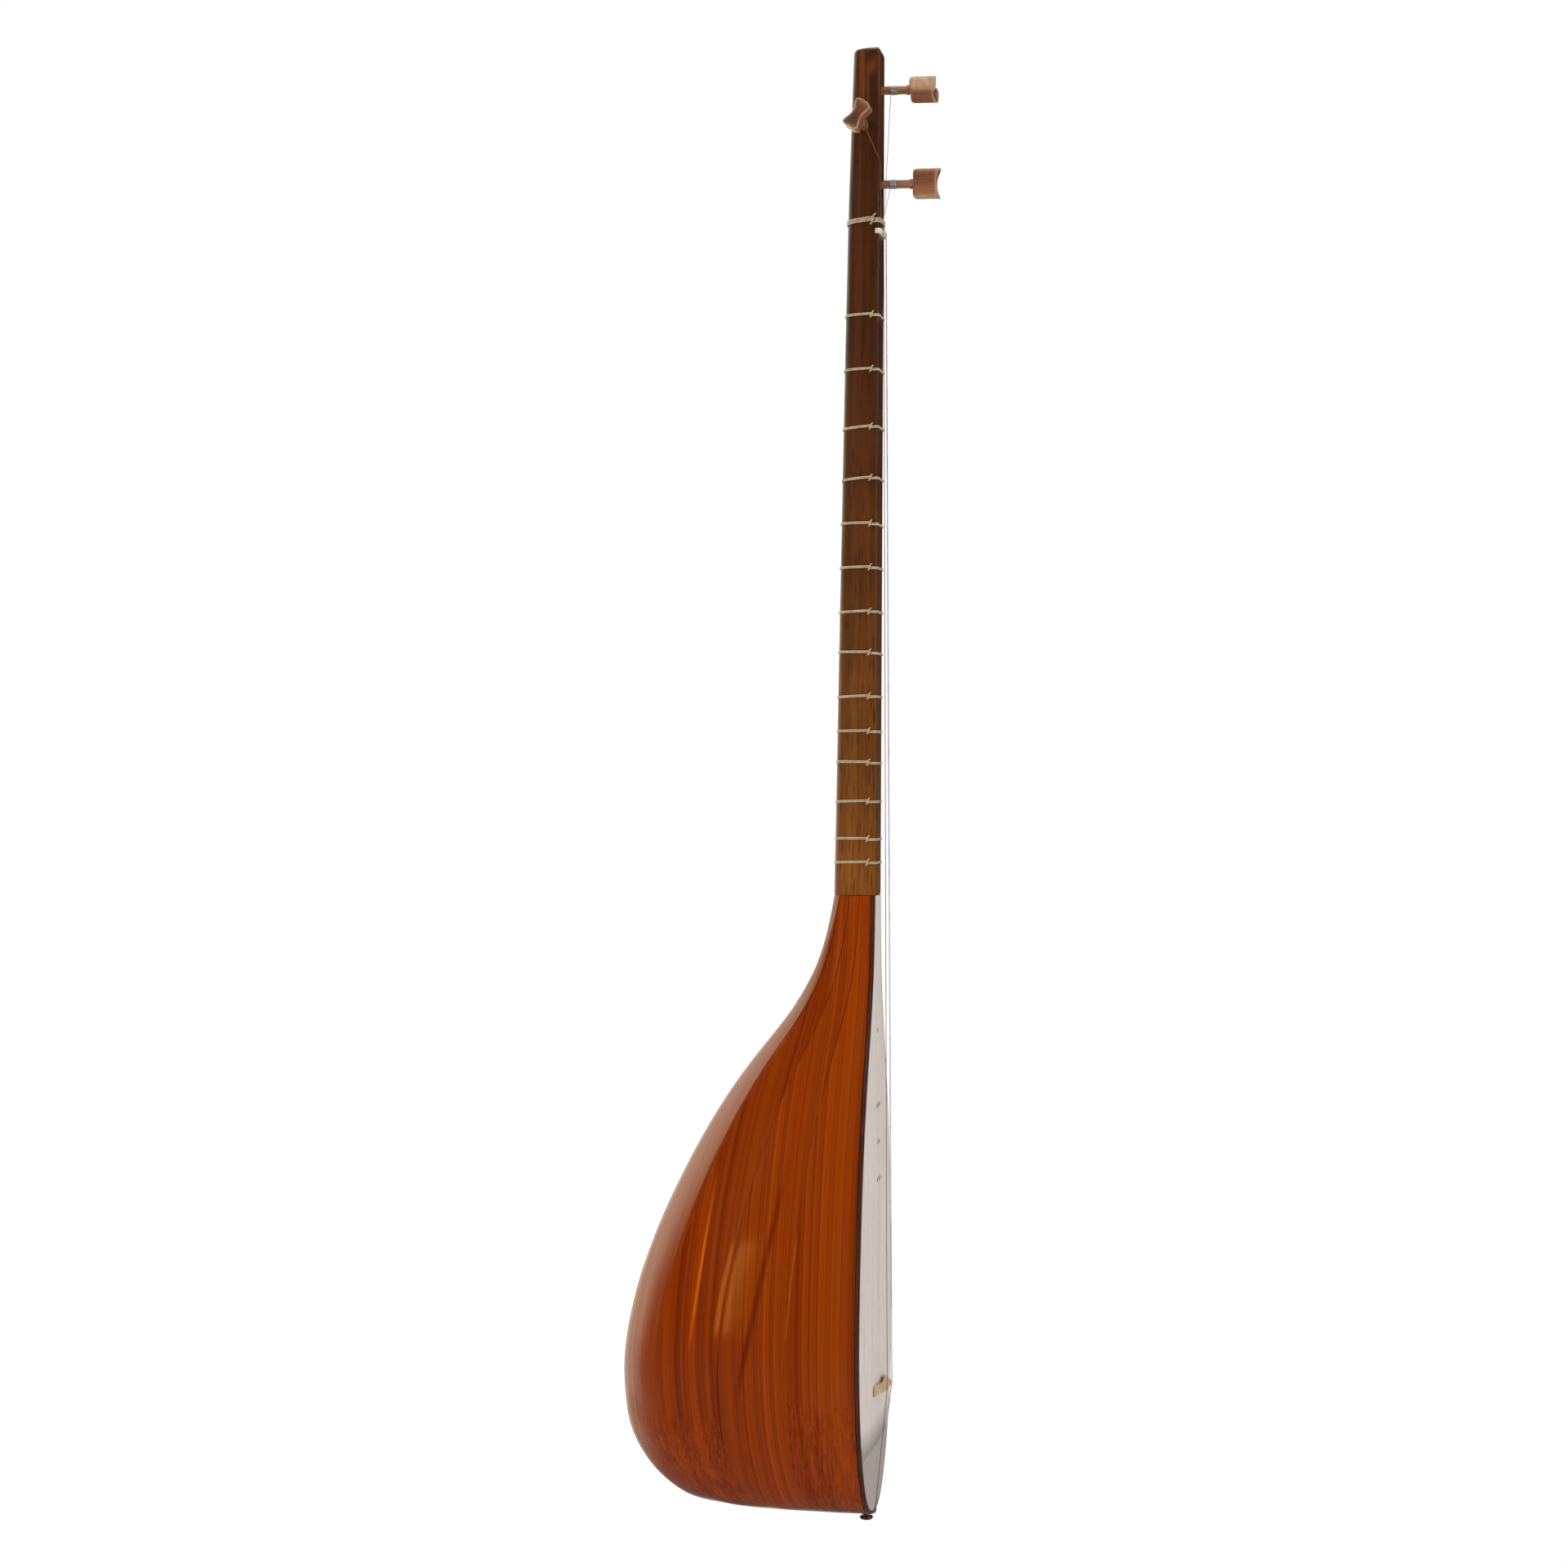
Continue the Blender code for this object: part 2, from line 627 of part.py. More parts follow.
def make_nut_tie(root, material):
    """Three turns of thicker gut that hold the strings down above the nut."""
    over_strings = STRING_REST_Y - BASS_RADIUS - GAP - TIE_RADIUS
    spread = max(abs(x) for x in NUT_SPACING) + 2 * TIE_RADIUS

    def around(z):
        outline = mitred_offset(neck_outline(z), GAP + TIE_RADIUS)
        bridge = [Vector((-spread, over_strings)), Vector((spread, over_strings))]
        return outline[:-1] + bridge + outline[-1:]

    z = NUT_Z + TIE_FROM_NUT
    centre = Vector((0, neck_depth(z) / 2, z))
    points = wound_gut("nut_tie", around, z, TIE_RADIUS, TIE_TURNS, TIE_PITCH, FRET_TAIL, 8)
    tie = tube("nut_tie", [point - centre for point in points], TIE_RADIUS, 1)
    tie.location = centre
    place(tie, root, material)


def bridge_top_y():
    share = (BRIDGE_Z - TAIL_Z) / BODY_LENGTH
    return board_y(0, share) - GAP - BRIDGE_HEIGHT


def make_bridge(root, material):
    """A low wooden bar on two feet with an arch between them, thinner at the top."""
    share = (BRIDGE_Z - TAIL_Z) / BODY_LENGTH
    half = BRIDGE_LENGTH / 2
    arch = half - BRIDGE_FOOT_LENGTH
    crest = board_y(0, share) - GAP
    level = max(abs(x) for x in BRIDGE_SPACING) + BRIDGE_TOP_WIDTH / 2
    half_way = (BRIDGE_SHOULDER_RISE + BRIDGE_END_RISE) / 2
    # Outwards from the middle: place, share of the arch's height, share of the bridge's height
    outwards = (
        (BRIDGE_ARCH_FLAT * level, 1.0, 1.0), (level, BRIDGE_ARCH_SHOULDER, 1.0),
        (arch, 0.0, BRIDGE_SHOULDER_RISE), (half - BRIDGE_FOOT_LENGTH / 2, 0.0, half_way),
        (half, 0.0, BRIDGE_END_RISE),
    )
    across = [(-x, hollow, rise) for x, hollow, rise in reversed(outwards)] + list(outwards)
    rings = []
    for x, hollow, rise in across:
        under = board_y(x, share) - GAP - hollow * BRIDGE_ARCH_HEIGHT
        top = crest - rise * BRIDGE_HEIGHT
        middle = (under + top) / 2
        foot = BRIDGE_FOOT_WIDTH / 2
        waist = (BRIDGE_FOOT_WIDTH + BRIDGE_TOP_WIDTH) / 4
        edge = BRIDGE_TOP_WIDTH / 2
        rings.append([
            Vector((x, under, foot)), Vector((x, middle, waist)), Vector((x, top, edge)),
            Vector((x, top, -edge)), Vector((x, middle, -waist)), Vector((x, under, -foot)),
        ])
    bridge = loft("bridge", rings)
    bridge.location = (0, 0, BRIDGE_Z)
    place(bridge, root, material)


def make_tail_button(root, material):
    """A turned button with a groove for the string loops and a shank into the end block."""
    head = BUTTON_HEAD_HEIGHT
    groove_top = head + BUTTON_GROOVE_HEIGHT
    swelling = ((BUTTON_HEAD_RADIUS * r, head * h) for r, h in BUTTON_HEAD_PROFILE)
    profile = (
        (BUTTON_FLAT_RADIUS, 0.0),
        *swelling,
        (BUTTON_GROOVE_RADIUS, head),
        (BUTTON_GROOVE_RADIUS, groove_top),
        (BUTTON_SHANK_RADIUS, groove_top),
        (BUTTON_SHANK_RADIUS, groove_top + BUTTON_SHANK_LENGTH),
    )
    button = turned("tail_button", profile, BUTTON_FACETS)
    button.location = (0, BUTTON_AXIS_DEPTH, 0)
    place(button, root, material, math.radians(40))


def peg_head(name, shaft_length):
    """The flat grip: two thick lobes with a waist between, and a dished end."""
    waist = (0.0, PEG_HEAD_WAIST / PEG_HEAD_THICKNESS)
    profile = sorted(PEG_HEAD_PROFILE + (waist,))
    count = len(profile)
    rings = []
    for station in (0.0, PEG_HEAD_BASE_LENGTH, 1.0):
        width = PEG_HEAD_WIDTH * (PEG_HEAD_BASE if station == 0.0 else 1.0)
        row = []
        for share, fullness in profile:
            dish = PEG_HEAD_DISH * (1 - (2 * share) ** 2) * (station == 1.0)
            slant = PEG_HEAD_SLANT * (0.5 - share) * (1 - station)
            height = shaft_length + PEG_HEAD_LENGTH * station - dish + slant
            row.append(Vector((PEG_HEAD_THICKNESS / 2 * fullness, width * share, height)))
        rings.append(row + [Vector((-p.x, p.y, p.z)) for p in reversed(row)])
    vertices = [point for ring in rings for point in ring]
    size = 2 * count
    faces = []
    for level in range(len(rings) - 1):
        low = level * size
        for i in range(size):
            j = (i + 1) % size
            faces.append((low + i, low + j, low + size + j, low + size + i))
    for low, step in ((0, 1), ((len(rings) - 1) * size, -1)):
        for i in range(count - 1):
            quad = (low + i, low + size - 1 - i, low + size - 2 - i, low + i + 1)
            faces.append(quad[::step])
    return mesh_object(name, vertices, faces)


def winding_reach(radius):
    """How far the centre of a winding runs from the peg's axis, at the corners of its loops."""
    return (PEG_SHAFT_RADIUS + GAP + radius) / math.cos(math.pi / WINDING_LOOP_POINTS)


def peg_winding(name, radius):
    """The string's last loops round the peg's shaft, one unbroken helix."""
    reach = winding_reach(radius)
    points = []
    for i in range(WINDING_LOOPS * WINDING_LOOP_POINTS + 1):
        turn = 2 * math.pi * i / WINDING_LOOP_POINTS
        height = WINDING_FROM_NECK + WINDING_PITCH * i / WINDING_LOOP_POINTS
        points.append(Vector((reach * math.cos(turn), reach * math.sin(turn), height)))
    gap = 1000 * least_gap(points, radius, WINDING_LOOP_POINTS // 2)
    print(f"{name}: least gap to itself {gap:.3f} mm")
    return tube(name, points, radius, 1)


def make_peg(root, neck, place_name, centre, turning, bore_length, shaft_length, turn, materials):
    """One peg with its bore in the head and its winding; its own Z runs out along its axis."""
    axis = bpy.data.objects.new(f"peg_{place_name}_axis", None)
    axis.parent = root
    axis.matrix_local = Matrix.Translation(centre) @ turning.to_4x4()
    bpy.context.scene.collection.objects.link(axis)

    def radius_at(height):
        taper = (PEG_SHAFT_RADIUS - PEG_TIP_RADIUS) / bore_length
        return PEG_SHAFT_RADIUS + taper * min(height, 0.0)

    shaft_name = f"peg_{place_name}_shaft"
    tip = -bore_length + PEG_TIP_RECESS
    profile = (
        (radius_at(tip) * 0.8, tip), (radius_at(tip), tip + PEG_TIP_RECESS), (radius_at(0), 0.0),
        (PEG_SHAFT_RADIUS, shaft_length), (PEG_SHAFT_RADIUS, shaft_length + PEG_HEAD_LENGTH / 2),
    )
    shaft = use_as_cutter(turned(shaft_name, profile, PEG_FACETS), axis)
    peg = peg_head(f"peg_{place_name}", shaft_length)
    peg.data.transform(Matrix.Rotation(turn, 4, "Z"))
    place(peg, axis, materials["peg"], math.radians(35))
    combine(peg, shaft, "UNION")

    beyond = 2 * PEG_SHAFT_RADIUS
    slack = math.cos(math.pi / BORE_FACETS)
    bore = turned(
        f"peg_{place_name}_bore",
        (((radius_at(-bore_length - beyond) + GAP) / slack, -bore_length - beyond),
         ((radius_at(0) + GAP) / slack, 0.0),
         ((radius_at(0) + GAP) / slack, beyond)),
        BORE_FACETS,
    )
    combine(neck, use_as_cutter(bore, axis), "DIFFERENCE")

    radius = BASS_RADIUS if place_name == "side" else TREBLE_RADIUS
    material = materials["bass" if place_name == "side" else "treble"]
    place(peg_winding(f"winding_{place_name}", radius), axis, material)


def make_pegs(root, neck, materials):
    """Two pegs stand out of the front of the head and one, between them, out of the bass side."""
    forward = Matrix(((1, 0, 0), (0, 0, -1), (0, 1, 0)))
    sideways = Matrix(((0, 0, -1), (-1, 0, 0), (0, 1, 0)))
    for name, z, shaft, turn in (
        ("upper", UPPER_PEG_Z, UPPER_PEG_SHAFT, UPPER_PEG_TURN),
        ("lower", LOWER_PEG_Z, LOWER_PEG_SHAFT, LOWER_PEG_TURN),
    ):
        make_peg(root, neck, name, Vector((0, 0, z)), forward,
                 neck_depth(z), shaft, turn, materials)
    half = neck_half_width(SIDE_PEG_Z)
    make_peg(root, neck, "side", Vector((-half, SIDE_PEG_DEPTH, SIDE_PEG_Z)), sideways,
             2 * half, SIDE_PEG_SHAFT, SIDE_PEG_TURN, materials)


def string_start(course, radius):
    """The hook round the tail button's groove and the way over the edge of the board."""
    side = math.copysign(1, TAIL_SPACING[course])
    reach = BUTTON_GROOVE_RADIUS + GAP + radius
    level = BUTTON_HEAD_HEIGHT + BUTTON_GROOVE_HEIGHT * HOOK_LEVELS[course]
    points = []
    for degrees in HOOK_TURNS:
        turn = math.radians(degrees)
        x = -side * reach * math.cos(turn)
        y = BUTTON_AXIS_DEPTH + reach * math.sin(turn)
        points.append(Vector((x, y, level)))
    points.append(Vector((side * reach, BUTTON_AXIS_DEPTH, level)))
    x = TAIL_SPACING[course]
    clear = GAP + BASS_RADIUS
    points.append(Vector((x, clear, TAIL_Z - clear)))
    points.append(Vector((x, -clear, TAIL_Z - clear)))
    points.append(Vector((x, -clear, TAIL_Z + clear)))
    return points


def string_middle(course, radius):
    """Over the bridge, along the neck, over the nut and down under the gut tie."""
    nut_x = NUT_SPACING[course]
    over_bridge = bridge_top_y() - GAP - radius
    over_nut = -NUT_RISE - GAP - radius
    on_nut = NUT_WIDTH / 2 * NUT_CROWN
    tie_z = NUT_Z + TIE_FROM_NUT
    under_tie = TIE_TURNS * TIE_PITCH / 2 + TIE_RADIUS
    return [
        Vector((BRIDGE_SPACING[course], over_bridge, BRIDGE_Z)),
        Vector((nut_x, over_nut, NUT_Z - on_nut)),
        Vector((nut_x, over_nut, NUT_Z + on_nut)),
        Vector((nut_x, STRING_REST_Y, tie_z - under_tie)),
        Vector((nut_x, STRING_REST_Y, tie_z + under_tie)),
    ]


def string_end(course, radius):
    """From the tie to the peg, where the string meets its winding beside the first loop."""
    reach = winding_reach(radius)
    out = WINDING_FROM_NECK - WINDING_PITCH
    if course == 0:
        half = neck_half_width(SIDE_PEG_Z)
        corner_z = NUT_Z + EDGE_TOUCH_SHARE * (SIDE_PEG_Z - NUT_Z)
        edge = neck_half_width(corner_z) + GAP
        return [
            Vector((-edge, STRING_REST_Y, corner_z)),
            Vector((-half - out, SIDE_PEG_DEPTH - reach, SIDE_PEG_Z)),
        ]
    z = LOWER_PEG_Z if course == 1 else UPPER_PEG_Z
    return [Vector((reach, -out, z))]


def make_strings(root, materials):
    for course, name in enumerate(("bass", "treble_1", "treble_2")):
        radius = BASS_RADIUS if name == "bass" else TREBLE_RADIUS
        points = string_start(course, radius)
        points += string_middle(course, radius)
        points += string_end(course, radius)
        string = tube(f"string_{name}", points, radius, 2)
        place(string, root, materials[name.split("_")[0]])


def main():
    clear_scene()
    root = bpy.data.objects.new("tanbur", None)
    root.location = (0, 0, -HANGING_Z)
    bpy.context.scene.collection.objects.link(root)
    materials = {
        "bowl": make_material("bowl_wood", (0.23, 0.065, 0.012), 0.22),
        "neck": make_material("neck_wood", (0.075, 0.028, 0.012), 0.28),
        "board": make_material("board_wood", (0.57, 0.50, 0.43), 0.60),
        "binding": make_material("binding_wood", (0.045, 0.012, 0.006), 0.35),
        "block": make_material("block_wood", (0.42, 0.29, 0.16), 0.70),
        "button": make_material("button_wood", (0.060, 0.016, 0.010), 0.32),
        "bone": make_material("nut_bone", (0.78, 0.74, 0.66), 0.40),
        "gut": make_material("fret_gut", (0.55, 0.47, 0.30), 0.48),
        "bridge": make_material("bridge_wood", (0.56, 0.42, 0.26), 0.55),
        "peg": make_material("peg_wood", (0.31, 0.15, 0.075), 0.45),
        "treble": make_material("treble_steel", (0.62, 0.61, 0.58), 0.25, 1.0),
        "bass": make_material("bass_bronze", (0.55, 0.33, 0.14), 0.30, 1.0),
    }
    make_ribs(root, materials["bowl"])
    form = inside_form(root)
    make_neck_block(root, form, materials["block"])
    make_end_block(root, form, materials["block"])
    make_soundboard(root, materials["board"])
    make_binding(root, materials["binding"])
    neck = make_neck(root, materials["neck"])
    make_nut(root, materials["bone"])
    make_nut_tie(root, materials["gut"])
    make_frets(root, materials["gut"])
    make_bridge(root, materials["bridge"])
    make_tail_button(root, materials["button"])
    make_pegs(root, neck, materials)
    make_strings(root, materials)


main()
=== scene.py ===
import math

import bmesh
import bpy
import numpy as np
from mathutils import Matrix, Vector


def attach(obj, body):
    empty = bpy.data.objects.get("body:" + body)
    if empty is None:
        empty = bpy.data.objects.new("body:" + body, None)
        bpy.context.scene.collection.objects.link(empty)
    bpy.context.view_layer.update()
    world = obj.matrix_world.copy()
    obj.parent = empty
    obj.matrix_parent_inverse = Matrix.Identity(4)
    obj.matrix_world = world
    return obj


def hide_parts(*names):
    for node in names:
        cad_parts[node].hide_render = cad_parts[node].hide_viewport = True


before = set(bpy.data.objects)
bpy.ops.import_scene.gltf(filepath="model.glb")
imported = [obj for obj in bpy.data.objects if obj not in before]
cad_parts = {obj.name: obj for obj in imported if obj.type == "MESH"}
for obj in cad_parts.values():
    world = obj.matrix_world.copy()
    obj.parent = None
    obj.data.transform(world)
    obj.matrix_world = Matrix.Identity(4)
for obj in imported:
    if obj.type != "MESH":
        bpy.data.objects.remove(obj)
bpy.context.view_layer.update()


# Nine staves of mulberry wood, bent over a form and glued edge to edge, make the bowl. The outside
# is scraped nearly round, so each stave keeps a light camber, and then lacquered to a deep gloss.
STAVES = 9
SEAM_CLOSING = 0.00013
STAVE_EDGE_ROUND = 0.00022
# Share of the form's roundness that each stave keeps across itself
STAVE_CAMBER = 0.32
# The line in the bowl that the staves' seams face, and how far apart their planks lie on the map
BOWL_AXIS_Y = 0.045
PLANK_GAP = 0.41


def take(piece):
    """Make one piece the only selected and the active one."""
    bpy.ops.object.select_all(action="DESELECT")
    piece.select_set(True)
    bpy.context.view_layer.objects.active = piece


def edit(piece, kind="FACE", everything=True):
    take(piece)
    bpy.ops.object.mode_set(mode="EDIT")
    bpy.ops.mesh.select_mode(type=kind)
    bpy.ops.mesh.select_all(action="SELECT" if everything else "DESELECT")


def leave():
    bpy.ops.object.mode_set(mode="OBJECT")


def leave_closed():
    """Turn all the faces of a closed shape outwards, and leave edit mode."""
    bpy.ops.mesh.select_all(action="SELECT")
    bpy.ops.mesh.normals_make_consistent(inside=False)
    leave()


def link_new(name, data):
    """A new object with its data, linked into the scene."""
    piece = bpy.data.objects.new(name, data)
    bpy.context.scene.collection.objects.link(piece)
    return piece


def new_mesh(name, vertices, edges, faces):
    mesh = bpy.data.meshes.new(name)
    mesh.from_pydata(vertices, edges, faces)
    return mesh


def copy_of(node, name):
    """A merged copy of a piece of the frame, its triangles joined to four-sided faces."""
    piece = link_new(name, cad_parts[node].data.copy())
    piece.data.name = name
    piece.data.materials.clear()
    edit(piece)
    bpy.ops.mesh.customdata_custom_splitnormals_clear()
    bpy.ops.mesh.remove_doubles(threshold=0.00001)
    bpy.ops.mesh.tris_convert_to_quads(
        face_threshold=math.radians(18), shape_threshold=math.radians(75))
    leave()
    return piece


def refine(piece, kind, **settings):
    """Add a modifier to a piece and apply it."""
    take(piece)
    modifier = piece.modifiers.new(kind.lower(), kind)
    for name, value in settings.items():
        setattr(modifier, name, value)
    bpy.ops.object.modifier_apply(modifier=modifier.name)


def soften(piece, width, segments, angle):
    """Round the edges that are sharper than an angle."""
    refine(piece, "BEVEL", width=width, segments=segments, limit_method="ANGLE",
           angle_limit=math.radians(angle))


def crease(piece, angle):
    """Keep the edges that are sharper than an angle in place when the piece is refined."""
    edit(piece, "EDGE", everything=False)
    bpy.ops.mesh.edges_select_sharp(sharpness=math.radians(angle))
    bpy.ops.transform.edge_crease(value=1)
    leave()


def finish_piece(piece, body, material, node, smooth):
    """Smooth a piece, give it its material, and let it stand for its node of the frame."""
    take(piece)
    bpy.ops.object.shade_smooth_by_angle(angle=math.radians(smooth))
    piece.data.materials.clear()
    piece.data.materials.append(material)
    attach(piece, body)
    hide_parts(node)


def add(tree, kind, joined=None, **settings):
    """A shader node of a kind such as Math. Its inputs are joined to sockets or set to values."""
    made = tree.nodes.new("ShaderNode" + kind)
    for name, value in settings.items():
        setattr(made, name, value)
    for name, value in (joined or {}).items():
        if isinstance(value, bpy.types.NodeSocket):
            tree.links.new(value, made.inputs[name])
        else:
            made.inputs[name].default_value = value
    return made


def reckon(operation, first, second=0.0):
    """A sum in the tree of the first socket. The helpers below find their tree the same way."""
    return add(first.id_data, "Math", {0: first, 1: second}, operation=operation).outputs[0]


def times(first, second):
    return reckon("MULTIPLY", first, second)


def vectors(operation, first, second=(0, 0, 0)):
    """A sum or product of two vectors or the way of one, or a distance or length as a number."""
    made = add(first.id_data, "VectorMath", {0: first, 1: second}, operation=operation)
    return made.outputs["Value" if operation in ("DISTANCE", "LENGTH") else "Vector"]


def split(place):
    return add(place.id_data, "SeparateXYZ", {"Vector": place}).outputs


def noise(place, scale, detail, **more):
    joined = {name.capitalize(): value for name, value in more.items()}
    joined.update({"Vector": place, "Scale": scale, "Detail": detail})
    return add(place.id_data, "TexNoise", joined).outputs["Fac"]


def spread(value, low, high, to_low=0.0, to_high=1.0):
    """Map a range of a value to another range, and stop at its ends."""
    made = add(value.id_data, "MapRange", {
        "Value": value, "From Min": low, "From Max": high, "To Min": to_low, "To Max": to_high})
    return made.outputs["Result"]


def blend(share, first, second, kind="MIX"):
    made = add(share.id_data, "Mix", {"Factor": share}, data_type="RGBA", blend_type=kind)
    for socket, value in ((made.inputs[6], first), (made.inputs[7], second)):
        if isinstance(value, bpy.types.NodeSocket):
            share.id_data.links.new(value, socket)
        else:
            socket.default_value = (*value, 1.0)
    return made.outputs[2]


def new_group(name, inputs, outputs):
    """A shader node group with its named inputs and outputs."""
    group = bpy.data.node_groups.new(name, "ShaderNodeTree")
    for way, sockets in (("INPUT", inputs), ("OUTPUT", outputs)):
        for label, kind in sockets.items():
            group.interface.new_socket(label, in_out=way, socket_type="NodeSocket" + kind)
    return group, group.nodes.new("NodeGroupInput").outputs, group.nodes.new("NodeGroupOutput")


def make_grain_group():
    """Long fibres along Z: broad figure, fine lines and short open pores."""
    tree, given, result = new_group("wood_grain", {
        "Vector": "Vector", "Light": "Color", "Dark": "Color", "Pores": "Color",
        "Fineness": "Float", "Stretch": "Float", "Figure": "Float", "Pore Share": "Float",
    }, {"Color": "Color", "Height": "Float", "Sheen Mask": "Float"})
    fine = given["Fineness"]
    along = reckon("DIVIDE", fine, given["Stretch"])
    scale = add(tree, "CombineXYZ", {"X": fine, "Y": fine, "Z": along}).outputs[0]
    wander = add(tree, "TexNoise", {
        "Vector": given["Vector"], "Scale": 11, "Detail": 2}).outputs["Color"]
    nudge = vectors("MULTIPLY", wander, (0.0035, 0.0035, 0))
    place = vectors("MULTIPLY", vectors("ADD", given["Vector"], nudge), scale)
    lines = noise(place, 1, 5, roughness=0.62)
    broad = noise(vectors("MULTIPLY", place, (0.16, 0.16, 0.10)), 1, 3, distortion=0.4)
    figure = spread(broad, 0.30, 0.70)
    fibre = spread(lines, 0.34, 0.66)
    share = add(tree, "Mix", {"Factor": given["Figure"], "A": fibre, "B": figure}).outputs[0]
    tone = blend(share, given["Dark"], given["Light"])
    pore = add(tree, "TexVoronoi", {
        "Vector": vectors("MULTIPLY", place, (1.5, 1.5, 6)), "Scale": 1})
    open_pore = spread(pore.outputs["Distance"], 0.18, 0.34, 1.0, 0.0)
    open_pore = times(open_pore, spread(broad, 0.66, 0.46))
    shown = times(open_pore, given["Pore Share"])
    tree.links.new(blend(shown, tone, given["Pores"]), result.inputs["Color"])
    tree.links.new(reckon("SUBTRACT", fibre, open_pore), result.inputs["Height"])
    tree.links.new(share, result.inputs["Sheen Mask"])
    return tree


def make_handling_group():
    """Faint smears and dust that play on how rough a polished face is."""
    tree, given, result = new_group(
        "handling_marks", {"Vector": "Vector", "Amount": "Float"}, {"Roughness": "Float"})
    rub = spread(noise(given["Vector"], 38, 4, distortion=0.9), 0.42, 0.75)
    specks = spread(noise(given["Vector"], 2600, 1), 0.66, 0.74)
    both = reckon("MAXIMUM", rub, times(specks, 0.5))
    tree.links.new(times(both, given["Amount"]), result.inputs["Roughness"])
    return tree


GRAIN = make_grain_group()
HANDLING = make_handling_group()


def wood_grain(place, light, dark, pores, **measures):
    """The grain group at a place, with three colours and measures such as pore_share=0.5."""
    joined = {name.replace("_", " ").title(): value for name, value in measures.items()}
    for name, colour in (("Light", light), ("Dark", dark), ("Pores", pores)):
        joined[name] = (*colour, 1) if isinstance(colour, tuple) else colour
    return add(place.id_data, "Group", {"Vector": place, **joined}, node_tree=GRAIN).outputs


def new_material(name, **constants):
    """A material with its shader, whose whole-surface numbers are set on the sockets."""
    material = bpy.data.materials.new(name)
    material.use_nodes = True
    shader = material.node_tree.nodes["Principled BSDF"]
    for label, value in constants.items():
        shader.inputs[label.replace("_", " ")].default_value = value
    return material, material.node_tree, shader


def bump(shader, height, distance, strength):
    made = add(shader.id_data, "Bump", {
        "Height": height, "Distance": distance, "Strength": strength})
    shader.id_data.links.new(made.outputs["Normal"], shader.inputs["Normal"])


def dress(shader, tone, place, marks, rough, height, depth, strength):
    """Join to a shader its colour, its roughness with an amount of marks, and its fine relief."""
    tree = shader.id_data
    tree.links.new(tone, shader.inputs["Base Color"])
    handled = add(tree, "Group", {"Vector": place, "Amount": marks}, node_tree=HANDLING)
    rough = reckon("ADD", handled.outputs["Roughness"], rough)
    tree.links.new(rough, shader.inputs["Roughness"])
    bump(shader, height, depth, strength)


def object_spot(tree):
    return add(tree, "TexCoord").outputs["Object"]


def object_place(tree, turn=(0, 0, 0), move=(0, 0, 0)):
    return add(tree, "Mapping", {
        "Vector": object_spot(tree), "Rotation": turn, "Location": move}).outputs["Vector"]


def lay_grain(piece, levels, number):
    """A map in metres of the plank that a stave was sawn from: across it, and along its bend."""
    outer = sorted((z, sorted(ring, key=lambda p: math.atan2(p.y, p.x)))
                   for z, ring in levels.items() if len(ring) == 3)
    heights = np.array([z for z, _ in outer])
    middle = np.array([tuple(ring[1]) for _, ring in outer])
    widest = max((ring[2] - ring[0] for _, ring in outer), key=lambda span: span.length)
    across = Vector((widest.x, widest.y, 0)).normalized()
    steps = np.linalg.norm(np.diff(middle, axis=0), axis=1)
    run = np.concatenate(([0.0], np.cumsum(steps)))
    for layer in list(piece.data.uv_layers):
        piece.data.uv_layers.remove(layer)
    chart = piece.data.uv_layers.new(name="grain")
    where = [(vertex.co.dot(across) + number * PLANK_GAP, np.interp(vertex.co.z, heights, run))
             for vertex in piece.data.vertices]
    for loop in piece.data.loops:
        chart.data[loop.index].uv = where[loop.vertex_index]


def close_seams(piece):
    """Move the glued edges of a stave out, so only a hairline is left between two staves."""
    mesh = piece.data
    moves = [Vector() for _ in mesh.vertices]
    for face in mesh.polygons:
        out = Vector((face.center.x, face.center.y - BOWL_AXIS_Y, 0)).normalized()
        if abs(face.normal.dot(out)) < 0.45 and abs(face.normal.z) < 0.8:
            for index in face.vertices:
                if moves[index].dot(face.normal) < SEAM_CLOSING / 2:
                    moves[index] += face.normal * SEAM_CLOSING
    for vertex, move in zip(mesh.vertices, moves):
        vertex.co += move


def pin_ends(piece, foot, top):
    """Hold the corners of a stave's two ends in place when it is refined."""
    edit(piece, "VERT", everything=False)
    shape = bmesh.from_edit_mesh(piece.data)
    for vertex in shape.verts:
        vertex.select = round(vertex.co.z, 5) in (foot, top)
    bmesh.update_edit_mesh(piece.data)
    bpy.ops.transform.vert_crease(value=1)
    leave()


